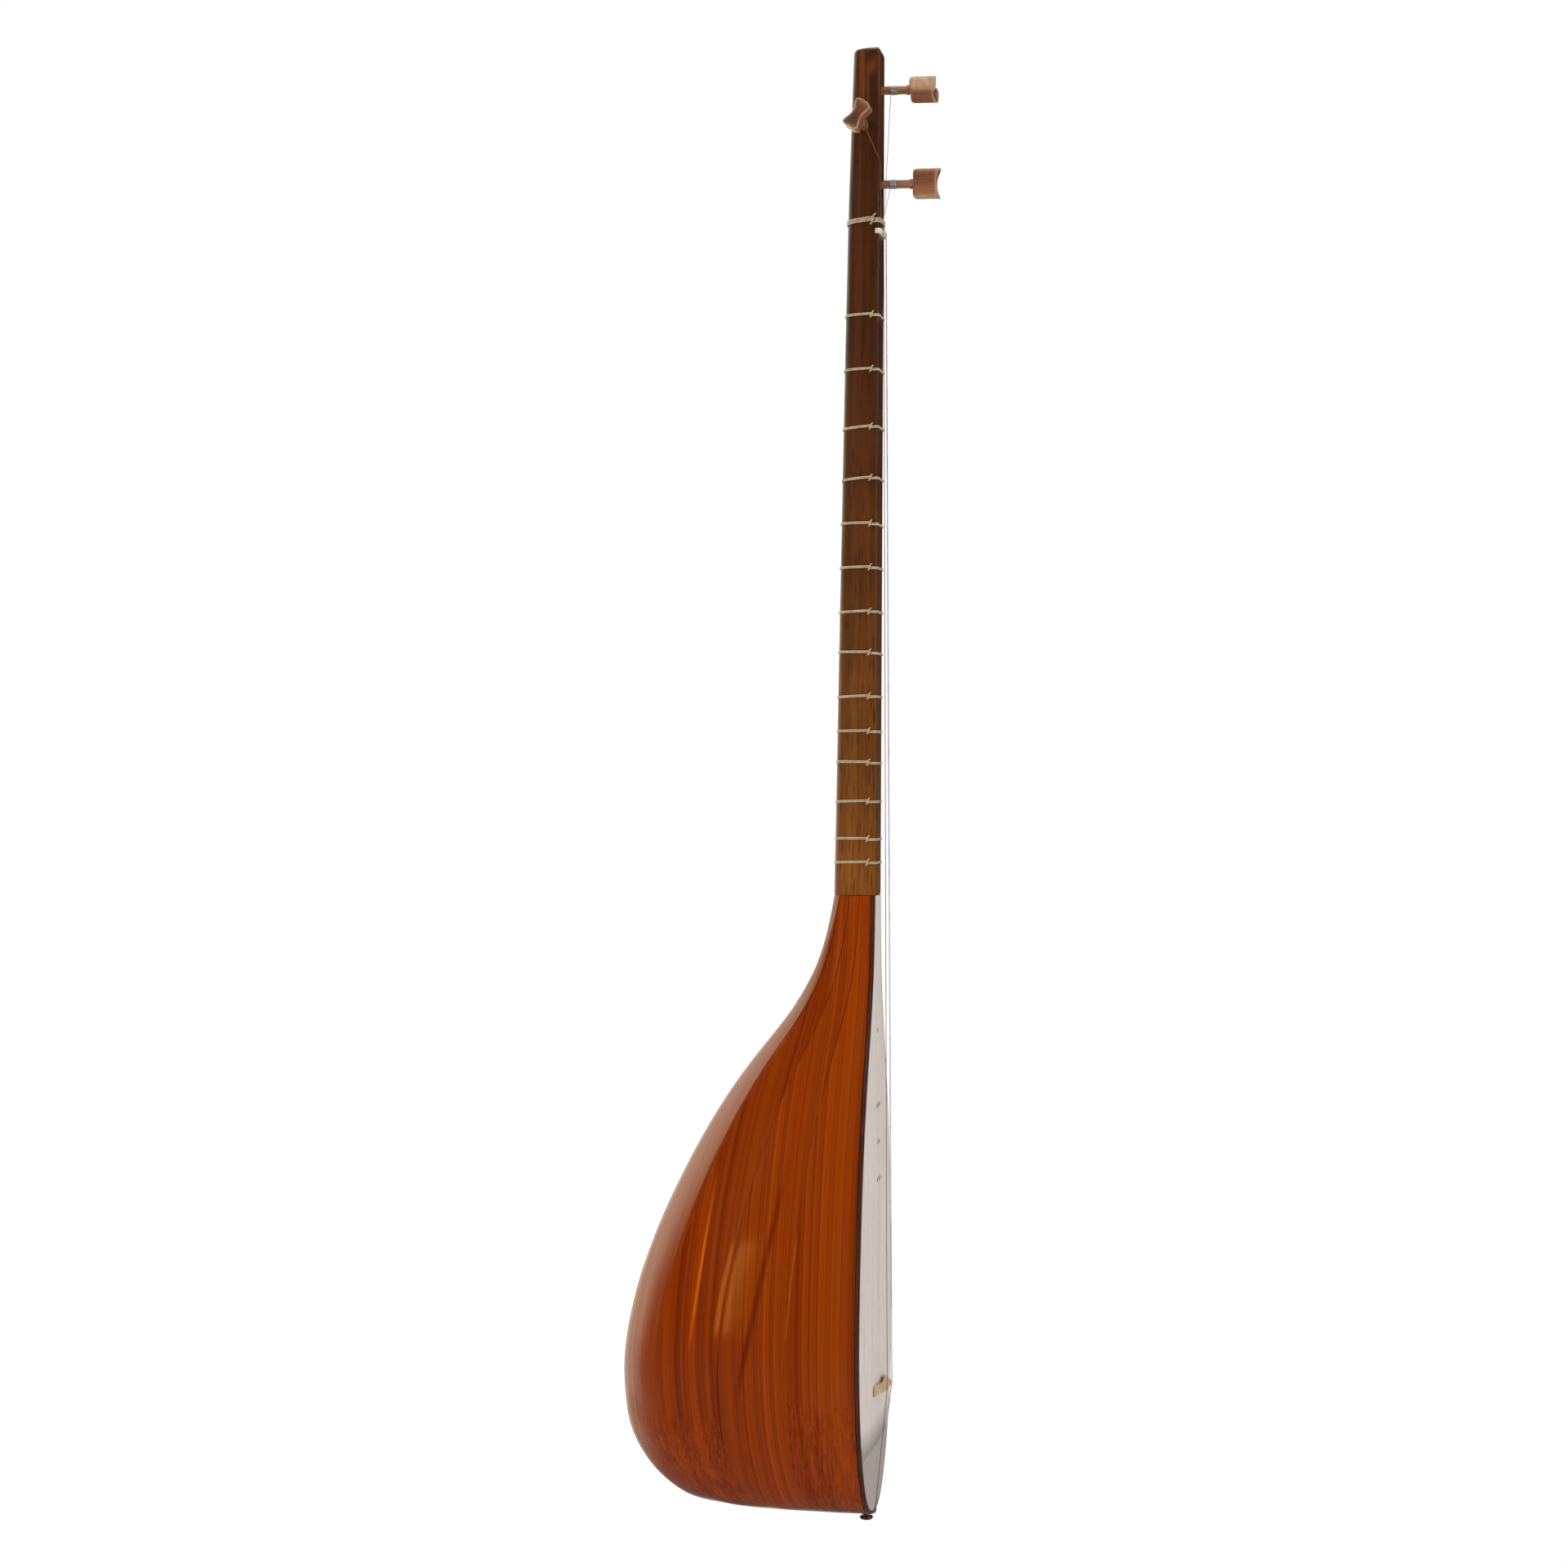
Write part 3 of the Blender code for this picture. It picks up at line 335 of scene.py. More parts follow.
def make_bowl_lacquer():
    material, tree, shader = new_material(
        "bowl_lacquered_mulberry", Coat_Weight=0.40, Coat_Roughness=0.085, Coat_IOR=1.5, IOR=1.5,
        Specular_Tint=(1.0, 0.58, 0.22, 1.0))
    chart = add(tree, "UVMap", uv_map="grain").outputs["UV"]
    place = add(tree, "Mapping", {
        "Vector": chart, "Rotation": (math.radians(90), 0, 0)}).outputs["Vector"]
    grain = wood_grain(place, (0.405, 0.059, 0.0010), (0.138, 0.0105, 0.0003),
                       (0.060, 0.005, 0.0002), fineness=900, stretch=11, figure=0.32,
                       pore_share=0.75)
    # Each plank has its own tone, and the lacquer lies thicker in clouds, redder and darker
    plank = reckon("DIVIDE", split(chart)["X"], PLANK_GAP)
    plank = reckon("FLOOR", reckon("ADD", plank, 0.5))
    own = add(tree, "TexWhiteNoise", {"W": plank}, noise_dimensions="1D")
    own = times(own.outputs["Value"], 0.9)
    tone = blend(own, grain["Color"], (0.80, 0.82, 1.10), "MULTIPLY")
    thick = spread(noise(chart, 9, 3), 0.38, 0.64)
    tone = blend(thick, tone, (0.80, 0.72, 0.90), "MULTIPLY")
    bands = noise(vectors("MULTIPLY", chart, (60, 3, 1)), 1, 2)
    golden_bands_and_highlight = spread(bands, 0.52, 0.72, 0.0, 0.26)
    # On the bass side one plank has a dark streak, and another a narrow gold-coloured painted
    # highlight
    spot = split(object_spot(tree))
    near_side = spread(spot["X"], 0.0, -0.01)

    def streak(slope, start, half, top, foot):
        """Where a streak of half a width lies: on the line Y = slope * Z + start, foot to top."""
        line = reckon("ADD", times(spot["Z"], slope), start)
        beside = reckon("ABSOLUTE", reckon("SUBTRACT", spot["Y"], line))
        along = times(spread(spot["Z"], foot, foot + 0.03), spread(spot["Z"], top, top - 0.05))
        inside = times(spread(beside, half, half * 0.25), along)
        return times(inside, near_side)

    tone = blend(streak(-0.207, -0.0760, 0.0026, -0.585, -0.735), tone,
                 (0.56, 0.43, 0.55), "MULTIPLY")
    # The broad bands are the wood's figure, and the narrow streak added here is a painted highlight
    golden_bands_and_highlight = reckon("MAXIMUM", golden_bands_and_highlight, streak(-0.132, 0.0125, 0.0014, -0.590, -0.705))
    tone = blend(golden_bands_and_highlight, tone, (0.540, 0.104, 0.0016))
    dress(shader, tone, place, 0.10, spread(grain["Sheen Mask"], 0, 1, 0.20, 0.13),
          grain["Height"], 0.00002, 0.5)
    return material


bowl_lacquer = make_bowl_lacquer()
for number in range(1, STAVES + 1):
    stave = copy_of(f"rib_{number}", f"stave_{number}")
    rings = {}
    for vertex in stave.data.vertices:
        rings.setdefault(round(vertex.co.z, 5), []).append(vertex)
    levels = {z: [vertex.co.copy() for vertex in ring] for z, ring in rings.items()}
    for ring in rings.values():
        if len(ring) == 3:
            first, middle, last = sorted(ring, key=lambda v: math.atan2(v.co.y, v.co.x))
            chord = (first.co + last.co) / 2
            middle.co = chord + (middle.co - chord) * STAVE_CAMBER
    crease(stave, 32)
    pin_ends(stave, min(levels), max(levels))
    refine(stave, "SUBSURF", levels=2, render_levels=2)
    close_seams(stave)
    soften(stave, STAVE_EDGE_ROUND, 2, 45)
    lay_grain(stave, levels, number)
    finish_piece(stave, "body", bowl_lacquer, f"rib_{number}", smooth=28)


# Two blocks of plain sawn wood close the bowl inside: the neck's tenon is glued into the upper
# one, and the lower one takes the staves' ends and the tail button's shank.
def make_raw_wood():
    material, tree, shader = new_material("raw_block_wood")
    place = object_place(tree)
    grain = wood_grain(place, (0.48, 0.34, 0.19), (0.33, 0.21, 0.10), (0.16, 0.09, 0.04),
                       fineness=700, stretch=18, figure=0.6, pore_share=0.4)
    saw = add(tree, "TexWave", {
        "Vector": place, "Scale": 160, "Distortion": 1.5, "Detail": 2}, bands_direction="Z")
    tree.links.new(grain["Color"], shader.inputs["Base Color"])
    tree.links.new(spread(grain["Sheen Mask"], 0, 1, 0.66, 0.80), shader.inputs["Roughness"])
    saw_lines = times(saw.outputs["Fac"], 0.7)
    bump(shader, reckon("ADD", grain["Height"], saw_lines), 0.00012, 0.7)
    return material


raw_wood = make_raw_wood()
for node in ("neck_block", "end_block"):
    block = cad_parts[node]
    block.data.materials.clear()
    block.data.materials.append(raw_wood)


# Neck and head are one length of walnut, stained dark at the head and worn lighter towards the
# bowl. The back is planed round and the front left flat, and a tenon at its foot is glued in.
JOINT_Z = -0.42903
NUT_Z = -0.02355
HEAD_TOP_Z = 0.08895
SECTION_FULLNESS = 2.25
NECK_HALF_WIDTHS = (0.0145, 0.0130, 0.0122)
NECK_DEPTHS = (0.0268, 0.0204, 0.0172)
FRONT_EDGE = 0.0008
FRONT_POINTS = 9
NECK_FACETS = 40
NECK_STEPS = 40
HEAD_ROUND = 0.0030
# How the head's top closes: height as a share of the rounding, and each step's shrinking
HEAD_STEPS = ((0.34, 0.988), (0.62, 0.966), (0.84, 0.935), (0.95, 0.905), (1.0, 0.880))
# Where the top closes to, as a share of the head's depth
HEAD_MIDDLE = 0.42
LOWER_PEG_Z = 0.00655
SIDE_PEG_Z = 0.04045
UPPER_PEG_Z = 0.06415
SIDE_PEG_Y = 0.0092
BORE_RADII = (0.0029, 0.0023)
# Centres and sizes of the tenon and of the nut's seat
TENON = ((0, 0.0135, JOINT_Z - 0.010), (0.013, 0.012, 0.036))
NUT_SEAT = ((0, -0.01, NUT_Z), (0.06, 0.0250, 0.0033))


def eased(z, sizes):
    """Read a size of the neck that changes smoothly from the joint past the nut to the top."""
    heights = (JOINT_Z, NUT_Z, HEAD_TOP_Z)
    widths = np.diff(heights)
    slopes = np.diff(sizes) / widths
    before = widths[1] + 2 * widths[0]
    after = 2 * widths[1] + widths[0]
    middle = (before + after) / (before / slopes[0] + after / slopes[1])
    tangents = (slopes[0], middle, slopes[1])
    i = 0 if z < NUT_Z else 1
    t = min(max((z - heights[i]) / widths[i], 0.0), 1.0)
    value = sizes[i] + (sizes[i + 1] - sizes[i]) * t * t * (3 - 2 * t)
    value += widths[i] * tangents[i] * t * (1 - t) ** 2
    return value - widths[i] * tangents[i + 1] * t * t * (1 - t)


def neck_section(z, facets, proud=0.0):
    """The neck's outline at a height, from the treble edge round the back, moved out if asked."""
    half = eased(z, NECK_HALF_WIDTHS)
    depth = eased(z, NECK_DEPTHS)
    power = 2 / SECTION_FULLNESS
    outline = []
    for i in range(facets + 1):
        turn = math.pi * i / facets
        cosine = math.cos(turn)
        x = math.copysign(abs(cosine) ** power, cosine) * half
        y = FRONT_EDGE
        if 0 < i < facets:
            y += (depth - FRONT_EDGE) * math.sin(turn) ** power
        outline.append(Vector((x, y)))
    for i in range(FRONT_POINTS):
        outline.append(Vector(((half - FRONT_EDGE) * (2 * i / (FRONT_POINTS - 1) - 1), 0.0)))
    if proud:
        count = len(outline)
        grown = []
        for i, point in enumerate(outline):
            run = outline[(i + 1) % count] - outline[i - 1]
            grown.append(point + Vector((run.y, -run.x)).normalized() * proud)
        outline = grown
    return outline


def cut(piece, tool, operation="DIFFERENCE"):
    """Cut a piece with a tool, or join the tool to it, and take the tool away."""
    refine(piece, "BOOLEAN", object=tool, operation=operation, solver="EXACT")
    bpy.data.objects.remove(tool, do_unlink=True)


def box(centre, size):
    bpy.ops.mesh.primitive_cube_add(size=1, location=centre, scale=size)
    bpy.ops.object.transform_apply(location=True, scale=True)
    return bpy.context.object


def peg_bore(start, way, length):
    """A tapered bore through the head as a tool, wider where the peg goes in."""
    radius, far_radius = BORE_RADII
    bpy.ops.mesh.primitive_cone_add(
        vertices=32, radius1=radius, radius2=far_radius, depth=length,
        location=Vector(start) + Vector(way) * length / 2)
    tool = bpy.context.object
    tool.rotation_euler = Vector(way).to_track_quat("Z", "Y").to_euler()
    bpy.ops.object.transform_apply(location=True, rotation=True, scale=True)
    return tool


bpy.ops.object.select_all(action="DESELECT")
outline = neck_section(JOINT_Z, NECK_FACETS)
bpy.ops.mesh.primitive_circle_add(
    vertices=len(outline), radius=0.01, fill_type="NGON", location=(0, 0, JOINT_Z))
neck = bpy.context.object
neck.name = "neck_and_head"
bpy.ops.object.transform_apply(location=True)
for vertex, point in zip(neck.data.vertices, outline):
    vertex.co = (point.x, point.y, JOINT_Z)
edit(neck)
body_top = HEAD_TOP_Z - HEAD_ROUND
z = JOINT_Z
for step in range(1, NECK_STEPS + 1):
    higher = JOINT_Z + (body_top - JOINT_Z) * step / NECK_STEPS
    bpy.ops.mesh.extrude_region_move(TRANSFORM_OT_translate={"value": (0, 0, higher - z)})
    wider = eased(higher, NECK_HALF_WIDTHS) / eased(z, NECK_HALF_WIDTHS)
    deeper = eased(higher, NECK_DEPTHS) / eased(z, NECK_DEPTHS)
    bpy.ops.transform.resize(value=(wider, deeper, 1), center_override=(0, 0, higher))
    z = higher
for rise, shrink in HEAD_STEPS:
    higher = body_top + HEAD_ROUND * rise
    bpy.ops.mesh.extrude_region_move(TRANSFORM_OT_translate={"value": (0, 0, higher - z)})
    z = higher
    bpy.ops.transform.resize(
        value=(shrink, shrink, 1), center_override=(0, eased(z, NECK_DEPTHS) * HEAD_MIDDLE, z))
leave_closed()
cut(neck, box(*TENON), "UNION")
cut(neck, box(*NUT_SEAT))
for z in (LOWER_PEG_Z, UPPER_PEG_Z):
    cut(neck, peg_bore((0, -0.004, z), (0, 1, 0), 0.032))
cut(neck, peg_bore((-0.018, SIDE_PEG_Y, SIDE_PEG_Z), (1, 0, 0), 0.036))
soften(neck, 0.00025, 2, 50)


def make_neck_wood():
    material, tree, shader = new_material(
        "neck_stained_walnut", Coat_Weight=0.22, Coat_Roughness=0.16, Coat_IOR=1.46, IOR=1.42,
        Specular_Tint=(1.0, 0.62, 0.36, 1.0))
    place = object_place(tree, move=(0.113, 0.271, 0))
    height = split(object_spot(tree))["Z"]
    drift = spread(noise(place, 14, 3), 0.3, 0.7, -0.05, 0.05)
    wavy = reckon("ADD", height, drift)
    worn = spread(wavy, -0.12, -0.46, 0.0, 0.88)
    light = blend(worn, (0.078, 0.0225, 0.0058), (0.345, 0.114, 0.014))
    dark = blend(worn, (0.036, 0.0095, 0.0030), (0.165, 0.047, 0.0060))
    grain = wood_grain(place, light, dark, (0.018, 0.007, 0.004),
                       fineness=520, stretch=60, figure=0.55, pore_share=0.8)
    # Red streaks where the stain has taken unevenly, most of them near the head, and black ones
    streaks = noise(vectors("MULTIPLY", place, (190, 190, 9)), 1, 3)
    red = times(spread(streaks, 0.50, 0.66), spread(height, -0.42, 0.05, 0.20, 0.50))
    tone = blend(red, grain["Color"], (0.105, 0.022, 0.0050))
    black = times(spread(streaks, 0.48, 0.34), spread(height, -0.40, -0.10, 0.15, 0.45))
    tone = blend(black, tone, (0.028, 0.0090, 0.0040))
    # At the head's top the finish is thin in patches and the wood shows orange
    thin = times(spread(wavy, 0.040, 0.080, 0.0, 0.40), spread(streaks, 0.46, 0.62))
    tone = blend(thin, tone, (0.230, 0.052, 0.010))
    # A small dark knot near the top of the bass side, with a painted orange highlight below it.
    # Heights are halved, so that both come out twice as tall as wide
    halved = vectors("MULTIPLY", object_spot(tree), (1, 1, 0.5))
    for centre, reach, share, colour in (
            ((-0.011, 0.0050, 0.0390), 0.0040, 0.50, (0.240, 0.048, 0.0080)),
            ((-0.010, 0.0062, 0.0413), 0.0036, 0.85, (0.016, 0.006, 0.004))):
        away = vectors("DISTANCE", halved, centre)
        near = spread(away, reach, reach * 0.3, 0.0, share)
        tone = blend(near, tone, colour)
    dress(shader, tone, place, 0.22, spread(grain["Sheen Mask"], 0, 1, 0.46, 0.32),
          grain["Height"], 0.00005, 0.7)
    return material


neck_wood = make_neck_wood()
finish_piece(neck, "body", neck_wood, "neck", smooth=30)


# The soundboard is one thin plate of bare mulberry with a slight crown, glued on the rim of the
# bowl. Its small sound holes are burnt through with a hot iron, which leaves a brown rim on each.
TAIL_Z = -0.80753
BODY_LENGTH = 0.3785
SOUND_HOLES = tuple(
    ((i - (count - 1) / 2) * 0.0070, TAIL_Z + share * BODY_LENGTH)
    for share, count in ((0.78, 1), (0.66, 3), (0.60, 2), (0.54, 3)) for i in range(count))


def make_board_wood():
    material, tree, shader = new_material("soundboard_bare_mulberry", IOR=1.4)
    place = object_place(tree, move=(0.31, 0.0, 0.0))
    grain = wood_grain(place, (0.780, 0.705, 0.655), (0.590, 0.520, 0.470),
                       (0.300, 0.225, 0.160), fineness=760, stretch=60, figure=0.42,
                       pore_share=0.5)
    spot = object_spot(tree)
    height = split(spot)["Z"]
    # Below the bridge the board is darker grey, more and more down to a line across the tail end
    grey = spread(height, -0.7470, -0.7630, 0.0, 0.66)
    below = spread(height, -0.7654, -0.7659, 0.0, 0.16)
    grey = reckon("SUBTRACT", grey, below)
    tone = blend(grey, grain["Color"], (0.150, 0.125, 0.110))
    nearest = None
    for x, z in SOUND_HOLES:
        away = vectors("DISTANCE", vectors("MULTIPLY", spot, (1, 0, 1)), (x, 0, z))
        nearest = away if nearest is None else reckon("MINIMUM", nearest, away)
    uneven = spread(noise(spot, 900, 2), 0.3, 0.7, -0.0003, 0.0003)
    scorch = spread(reckon("ADD", nearest, uneven), 0.0021, 0.0011)
    tone = blend(scorch, tone, (0.052, 0.026, 0.014))
    dress(shader, tone, place, 0.10, spread(grain["Sheen Mask"], 0, 1, 0.60, 0.50),
          grain["Height"], 0.00006, 0.8)
    return material


board = copy_of("soundboard", "soundboard_plate")
finish_piece(board, "body", make_board_wood(), "soundboard", smooth=25)


# A strip of dark wood is let into the edge of the soundboard all the way round. It is bent hot,
# glued and scraped flush, and the bowl's lacquer runs over it.
def make_plain_wood(name, colours, measures, marks, rough, depth, strength, turn=0, **constants):
    """A wood, or bone, with the same finish all over, its grain turned about Y by an angle."""
    material, tree, shader = new_material(name, **constants)
    place = object_place(tree, turn=(0, math.radians(turn), 0))
    grain = wood_grain(place, *colours, **measures)
    dress(shader, grain["Color"], place, marks, rough, grain["Height"], depth, strength)
    return material


binding_wood = make_plain_wood(
    "binding_dark_wood", ((0.085, 0.022, 0.010), (0.030, 0.008, 0.005), (0.010, 0.004, 0.003)),
    {"fineness": 900, "stretch": 25, "figure": 0.5, "pore_share": 0.6},
    0.20, 0.34, 0.00003, 0.5, Coat_Weight=0.8, Coat_Roughness=0.08, Coat_IOR=1.46)
binding = copy_of("edge_binding", "soundboard_edge_strip")
soften(binding, 0.00025, 2, 60)
finish_piece(binding, "body", binding_wood, "edge_binding", smooth=40)


# The tail button is turned from dark wood and polished. Its shank is pressed into the end block,
# and the looped ends of the three strings lie in its groove.
BUTTON_Y = 0.0052
BUTTON_END_Z = -0.81253
BUTTON_OUTLINE = (
    (0.0, 0.0), (0.0022, 0.0), (0.0028, 0.00014), (0.0034, 0.00042), (0.00385, 0.00085),
    (0.00412, 0.00130), (0.00418, 0.00165), (0.00402, 0.00205), (0.00372, 0.00238),
    (0.00300, 0.00256), (0.00215, 0.00266), (0.0020, 0.00290), (0.0020, 0.00445),
    (0.0018, 0.0047), (0.0016, 0.0050), (0.0016, 0.0204), (0.0012, 0.0207), (0.0, 0.0207),
)


def turn_on_lathe(name, outline, centre, steps=48):
    """A solid of revolution about Z from its (radius, height) outline, spun as on a lathe."""
    corners = [(centre[0] + radius, centre[1], centre[2] + height) for radius, height in outline]
    edges = [(i, i + 1) for i in range(len(corners) - 1)]
    piece = link_new(name, new_mesh(name, corners, edges, []))
    edit(piece, "EDGE")
    bpy.ops.mesh.spin(steps=steps, angle=2 * math.pi, center=centre, axis=(0, 0, 1))
    bpy.ops.mesh.select_all(action="SELECT")
    bpy.ops.mesh.remove_doubles(threshold=0.000005)
    leave_closed()
    return piece


button_wood = make_plain_wood(
    "tail_button_wood", ((0.110, 0.030, 0.018), (0.046, 0.012, 0.008), (0.014, 0.005, 0.004)),
    {"fineness": 1100, "stretch": 12, "figure": 0.5, "pore_share": 0.5},
    0.25, 0.30, 0.00003, 0.5, Coat_Weight=0.6, Coat_Roughness=0.12)
button = turn_on_lathe("string_button", BUTTON_OUTLINE, (0, BUTTON_Y, BUTTON_END_Z))
finish_piece(button, "body", button_wood, "tail_button", smooth=35)


# The nut is a bar of bone in a slot across the neck. Its top is rounded and polished, and each
# string has a fine notch in it.
STRING_PLACES_AT_NUT = (-0.0075, 0.0045, 0.0075)
NOTCH_RADIUS = 0.00035
NOTCH_Y = -0.00222
# How much of the seat's breadth the bar keeps along the neck
NUT_BREADTH_SHARE = 0.84
# Centre and size of what is trimmed off its foot
NUT_TRIM = ((0, 0.0074, NUT_Z), (0.04, 0.01, 0.01))

bone = make_plain_wood(
    "nut_bone", ((0.80, 0.76, 0.68), (0.66, 0.60, 0.49), (0.38, 0.30, 0.20)),
    {"fineness": 1500, "stretch": 14, "figure": 0.6, "pore_share": 0.35},
    0.20, 0.28, 0.00002, 0.5, turn=90, Subsurface_Weight=0.12, Subsurface_Scale=0.002, IOR=1.5)
nut = copy_of("nut", "nut_bar")
nut.data.transform(
    Matrix.Translation((0, 0, NUT_Z)) @ Matrix.Diagonal((1, 1, NUT_BREADTH_SHARE, 1))
    @ Matrix.Translation((0, 0, -NUT_Z)))
# Its foot is trimmed to the seat, and a round file cuts the notches
cut(nut, box(*NUT_TRIM))
for x in STRING_PLACES_AT_NUT:
    bpy.ops.mesh.primitive_cylinder_add(
        vertices=12, radius=NOTCH_RADIUS, depth=0.008, location=(x, NOTCH_Y, NUT_Z))
    file = bpy.context.object
    bpy.ops.object.transform_apply(location=True)
    cut(nut, file)
soften(nut, 0.0003, 3, 28)
finish_piece(nut, "body", bone, "nut", smooth=40)


# Fourteen frets of twisted gut. Each is wound twice round the neck, knotted on the bass side and
# cut off, and can be pushed a few millimetres up or down to tune its note.
FRET_HEIGHTS = (-0.07466, -0.10786, -0.14278, -0.17414, -0.20230, -0.22903, -0.25579,
                -0.28111, -0.30753, -0.32893, -0.34815, -0.37166, -0.39469, -0.40891)
# How much lower each one sits at the back of the neck than at its edges
FRET_TILTS = (0.0001, 0.0003, 0.0013, 0.0012, -0.0003, 0.0, 0.0005,
              -0.0004, 0.0006, 0.0002, -0.0003, 0.0005, 0.0, 0.0004)
GUT_RADIUS = 0.00036
# Its steps round the neck's outline, where on the outline it is knotted, and its gap to the wood
GUT_FACETS = 48
KNOT_PLACE = 46
GUT_GAP = 0.00015
GUT_TWISTS_PER_METRE = 620
FRET_PITCH = 0.00080
FRET_TAIL = 0.0009


def strand(name, route, radius, sides):
    """One unbroken strand along a route, with a map in metres along it and turns round it."""
    points = [Vector(p) for p in route]
    count = len(points)
    run = [0.0]
    for a, b in zip(points, points[1:]):
        run.append(run[-1] + (b - a).length)
    ways = []
    for i in range(count):
        ways.append((points[min(i + 1, count - 1)] - points[max(i - 1, 0)]).normalized())
    side = ways[0].orthogonal().normalized()
    vertices, faces, chart = [], [], []
    for i, (point, way) in enumerate(zip(points, ways)):
        side = (side - way * side.dot(way)).normalized()
        other = way.cross(side)
        for j in range(sides):
            turn = 2 * math.pi * j / sides
            vertices.append(point + (side * math.cos(turn) + other * math.sin(turn)) * radius)
    for i in range(count - 1):
        for j in range(sides):
            k = (j + 1) % sides
            faces.append((i * sides + j, i * sides + k, (i + 1) * sides + k, (i + 1) * sides + j))
            chart.append(((run[i], j / sides), (run[i], (j + 1) / sides),
                          (run[i + 1], (j + 1) / sides), (run[i + 1], j / sides)))
    faces.append(tuple(reversed(range(sides))))
    chart.append(tuple((0.0, j / sides) for j in reversed(range(sides))))
    last = (count - 1) * sides
    faces.append(tuple(range(last, last + sides)))
    chart.append(tuple((run[-1], j / sides) for j in range(sides)))
    mesh = new_mesh(name, [tuple(v) for v in vertices], [], faces)
    layer = mesh.uv_layers.new(name="lay")
    flat = [spot for face in chart for spot in face]
    for loop, spot in zip(layer.data, flat):
        loop.uv = spot
    return link_new(name, mesh)


def smooth_route(points, steps):
    """A soft curve through points, with a number of steps between each two."""
    route = []
    count = len(points)
    for i in range(count - 1):
        a, b, c, d = (points[max(i - 1, 0)], points[i], points[i + 1], points[min(i + 2, count - 1)])
        for step in range(steps):
            t = step / steps
            route.append(0.5 * (2 * b + (c - a) * t + (2 * a - 5 * b + 4 * c - d) * t ** 2
                                + (3 * b - a - 3 * c + d) * t ** 3))
    route.append(points[-1])
    return route


def gut_turns(z, turns, pitch, radius, tilt, over=None):
    """The route of a gut round the neck from the knot, a little off the wood, to the knot."""
    round_neck = GUT_FACETS + 1 + FRONT_POINTS
    route = []
    for i in range(turns * round_neck + 1):
        height = z + (i / round_neck - turns / 2) * pitch
        place = (KNOT_PLACE + i) % round_neck
        depth = neck_section(height, GUT_FACETS)[place].y
        height -= tilt * depth / NECK_DEPTHS[1]
        point = neck_section(height, GUT_FACETS, radius + GUT_GAP)[place]
        if over:
            point = over(point)
        route.append(Vector((point.x, point.y, height)))
    return route


def tie_knot(route, radius, tail):
    """A route with its knot: each end passes over the turns, tucks under and is cut off short."""
    start, end = route[0], route[-1]
    knot = (start + end) / 2
    # Outwards from the bass edge, and the way round from the front towards the back
    out = Vector((-0.97, -0.24, 0)).normalized()
    back = Vector((-0.24, 0.97, 0)).normalized()
    up = Vector((0, 0, 1))
    half = abs(end.z - start.z) / 2 + radius

    def spot(outwards, backwards, rise):
        return knot + out * outwards * radius + back * backwards * radius + up * rise

    shift = tail / radius
    first = [spot(1.6, -2.4 - 0.6 * shift, half + tail), spot(2.1, -1.5, half + 0.8 * radius),
             spot(2.5, -0.2, 0.2 * radius), spot(1.7, 1.2, -0.7 * half)]
    last = [spot(1.7, -1.2, 0.7 * half), spot(3.4, 0.1, -0.2 * radius),
            spot(2.5, 1.1, -half - 0.7 * radius), spot(1.7, 1.8 + 0.4 * shift, -half - 0.6 * tail)]
    begin = smooth_route(first + [route[1]], 5)[:-1]
    finish = smooth_route([route[-2]] + last, 5)[1:]
    return begin + route[1:-1] + finish


def make_gut(name, light, dark):
    material, tree, shader = new_material(
        name, Subsurface_Weight=0.15, Subsurface_Scale=0.001, IOR=1.48)
    parts = split(add(tree, "UVMap", uv_map="lay").outputs["UV"])
    spot = object_spot(tree)
    slant = reckon("ADD", times(parts["X"], GUT_TWISTS_PER_METRE), parts["Y"])
    ply = reckon("SINE", times(slant, 2 * math.pi))
    # The grooves between the plies are darkened as painted shade
    groove_shade = times(spread(ply, -1.0, -0.2, 1.0, 0.0), 0.55)
    cloud = spread(noise(spot, 420, 3), 0.35, 0.65)
    tone = blend(cloud, light, dark)
    tone = blend(groove_shade, tone, tuple(0.45 * c for c in dark))
    dress(shader, tone, spot, 0.20, 0.40, ply, 0.00005, 0.8)
    return material


gut = make_gut("fret_gut", (0.66, 0.56, 0.38), (0.50, 0.40, 0.24))
for number, (z, tilt) in enumerate(zip(FRET_HEIGHTS, FRET_TILTS), start=1):
    route = tie_knot(gut_turns(z, 2, FRET_PITCH, GUT_RADIUS, tilt), GUT_RADIUS, FRET_TAIL)
    fret = strand(f"tied_fret_{number:02d}", route, GUT_RADIUS, 8)
    finish_piece(fret, f"fret_{number:02d}", gut, f"fret_{number:02d}", smooth=60)


# Three turns of thicker gut above the nut pull the strings down on the neck, so that they press
# on the nut. It is knotted like the frets and doesn't move.
TIE_Z = -0.01655
TIE_RADIUS = 0.00044
TIE_PITCH = 0.00100
TIE_TILT = 0.0012
TIE_TAIL = 0.0016
BASS_RADIUS = 0.00022
STRING_Y_AT_TIE = -0.00062
OVER_STRINGS = STRING_Y_AT_TIE - BASS_RADIUS - 0.00008
# The stretch of the neck's front over which the gut is lifted
LIFTED_HALF_WIDTH = 0.0086
LIFTED_FRONT_Y = 0.0004


def over_the_strings(point):
    """Lift the gut off the neck's front where the strings pass under it."""
    if point.y < LIFTED_FRONT_Y and abs(point.x) < LIFTED_HALF_WIDTH:
        return Vector((point.x, min(point.y, OVER_STRINGS - TIE_RADIUS)))
    return point


tie_gut = make_gut("nut_tie_gut", (0.60, 0.52, 0.37), (0.44, 0.35, 0.22))
route = gut_turns(TIE_Z, 3, TIE_PITCH, TIE_RADIUS, TIE_TILT, over_the_strings)
tie = strand("string_tie", tie_knot(route, TIE_RADIUS, TIE_TAIL), TIE_RADIUS, 10)
finish_piece(tie, "body", tie_gut, "nut_tie", smooth=60)


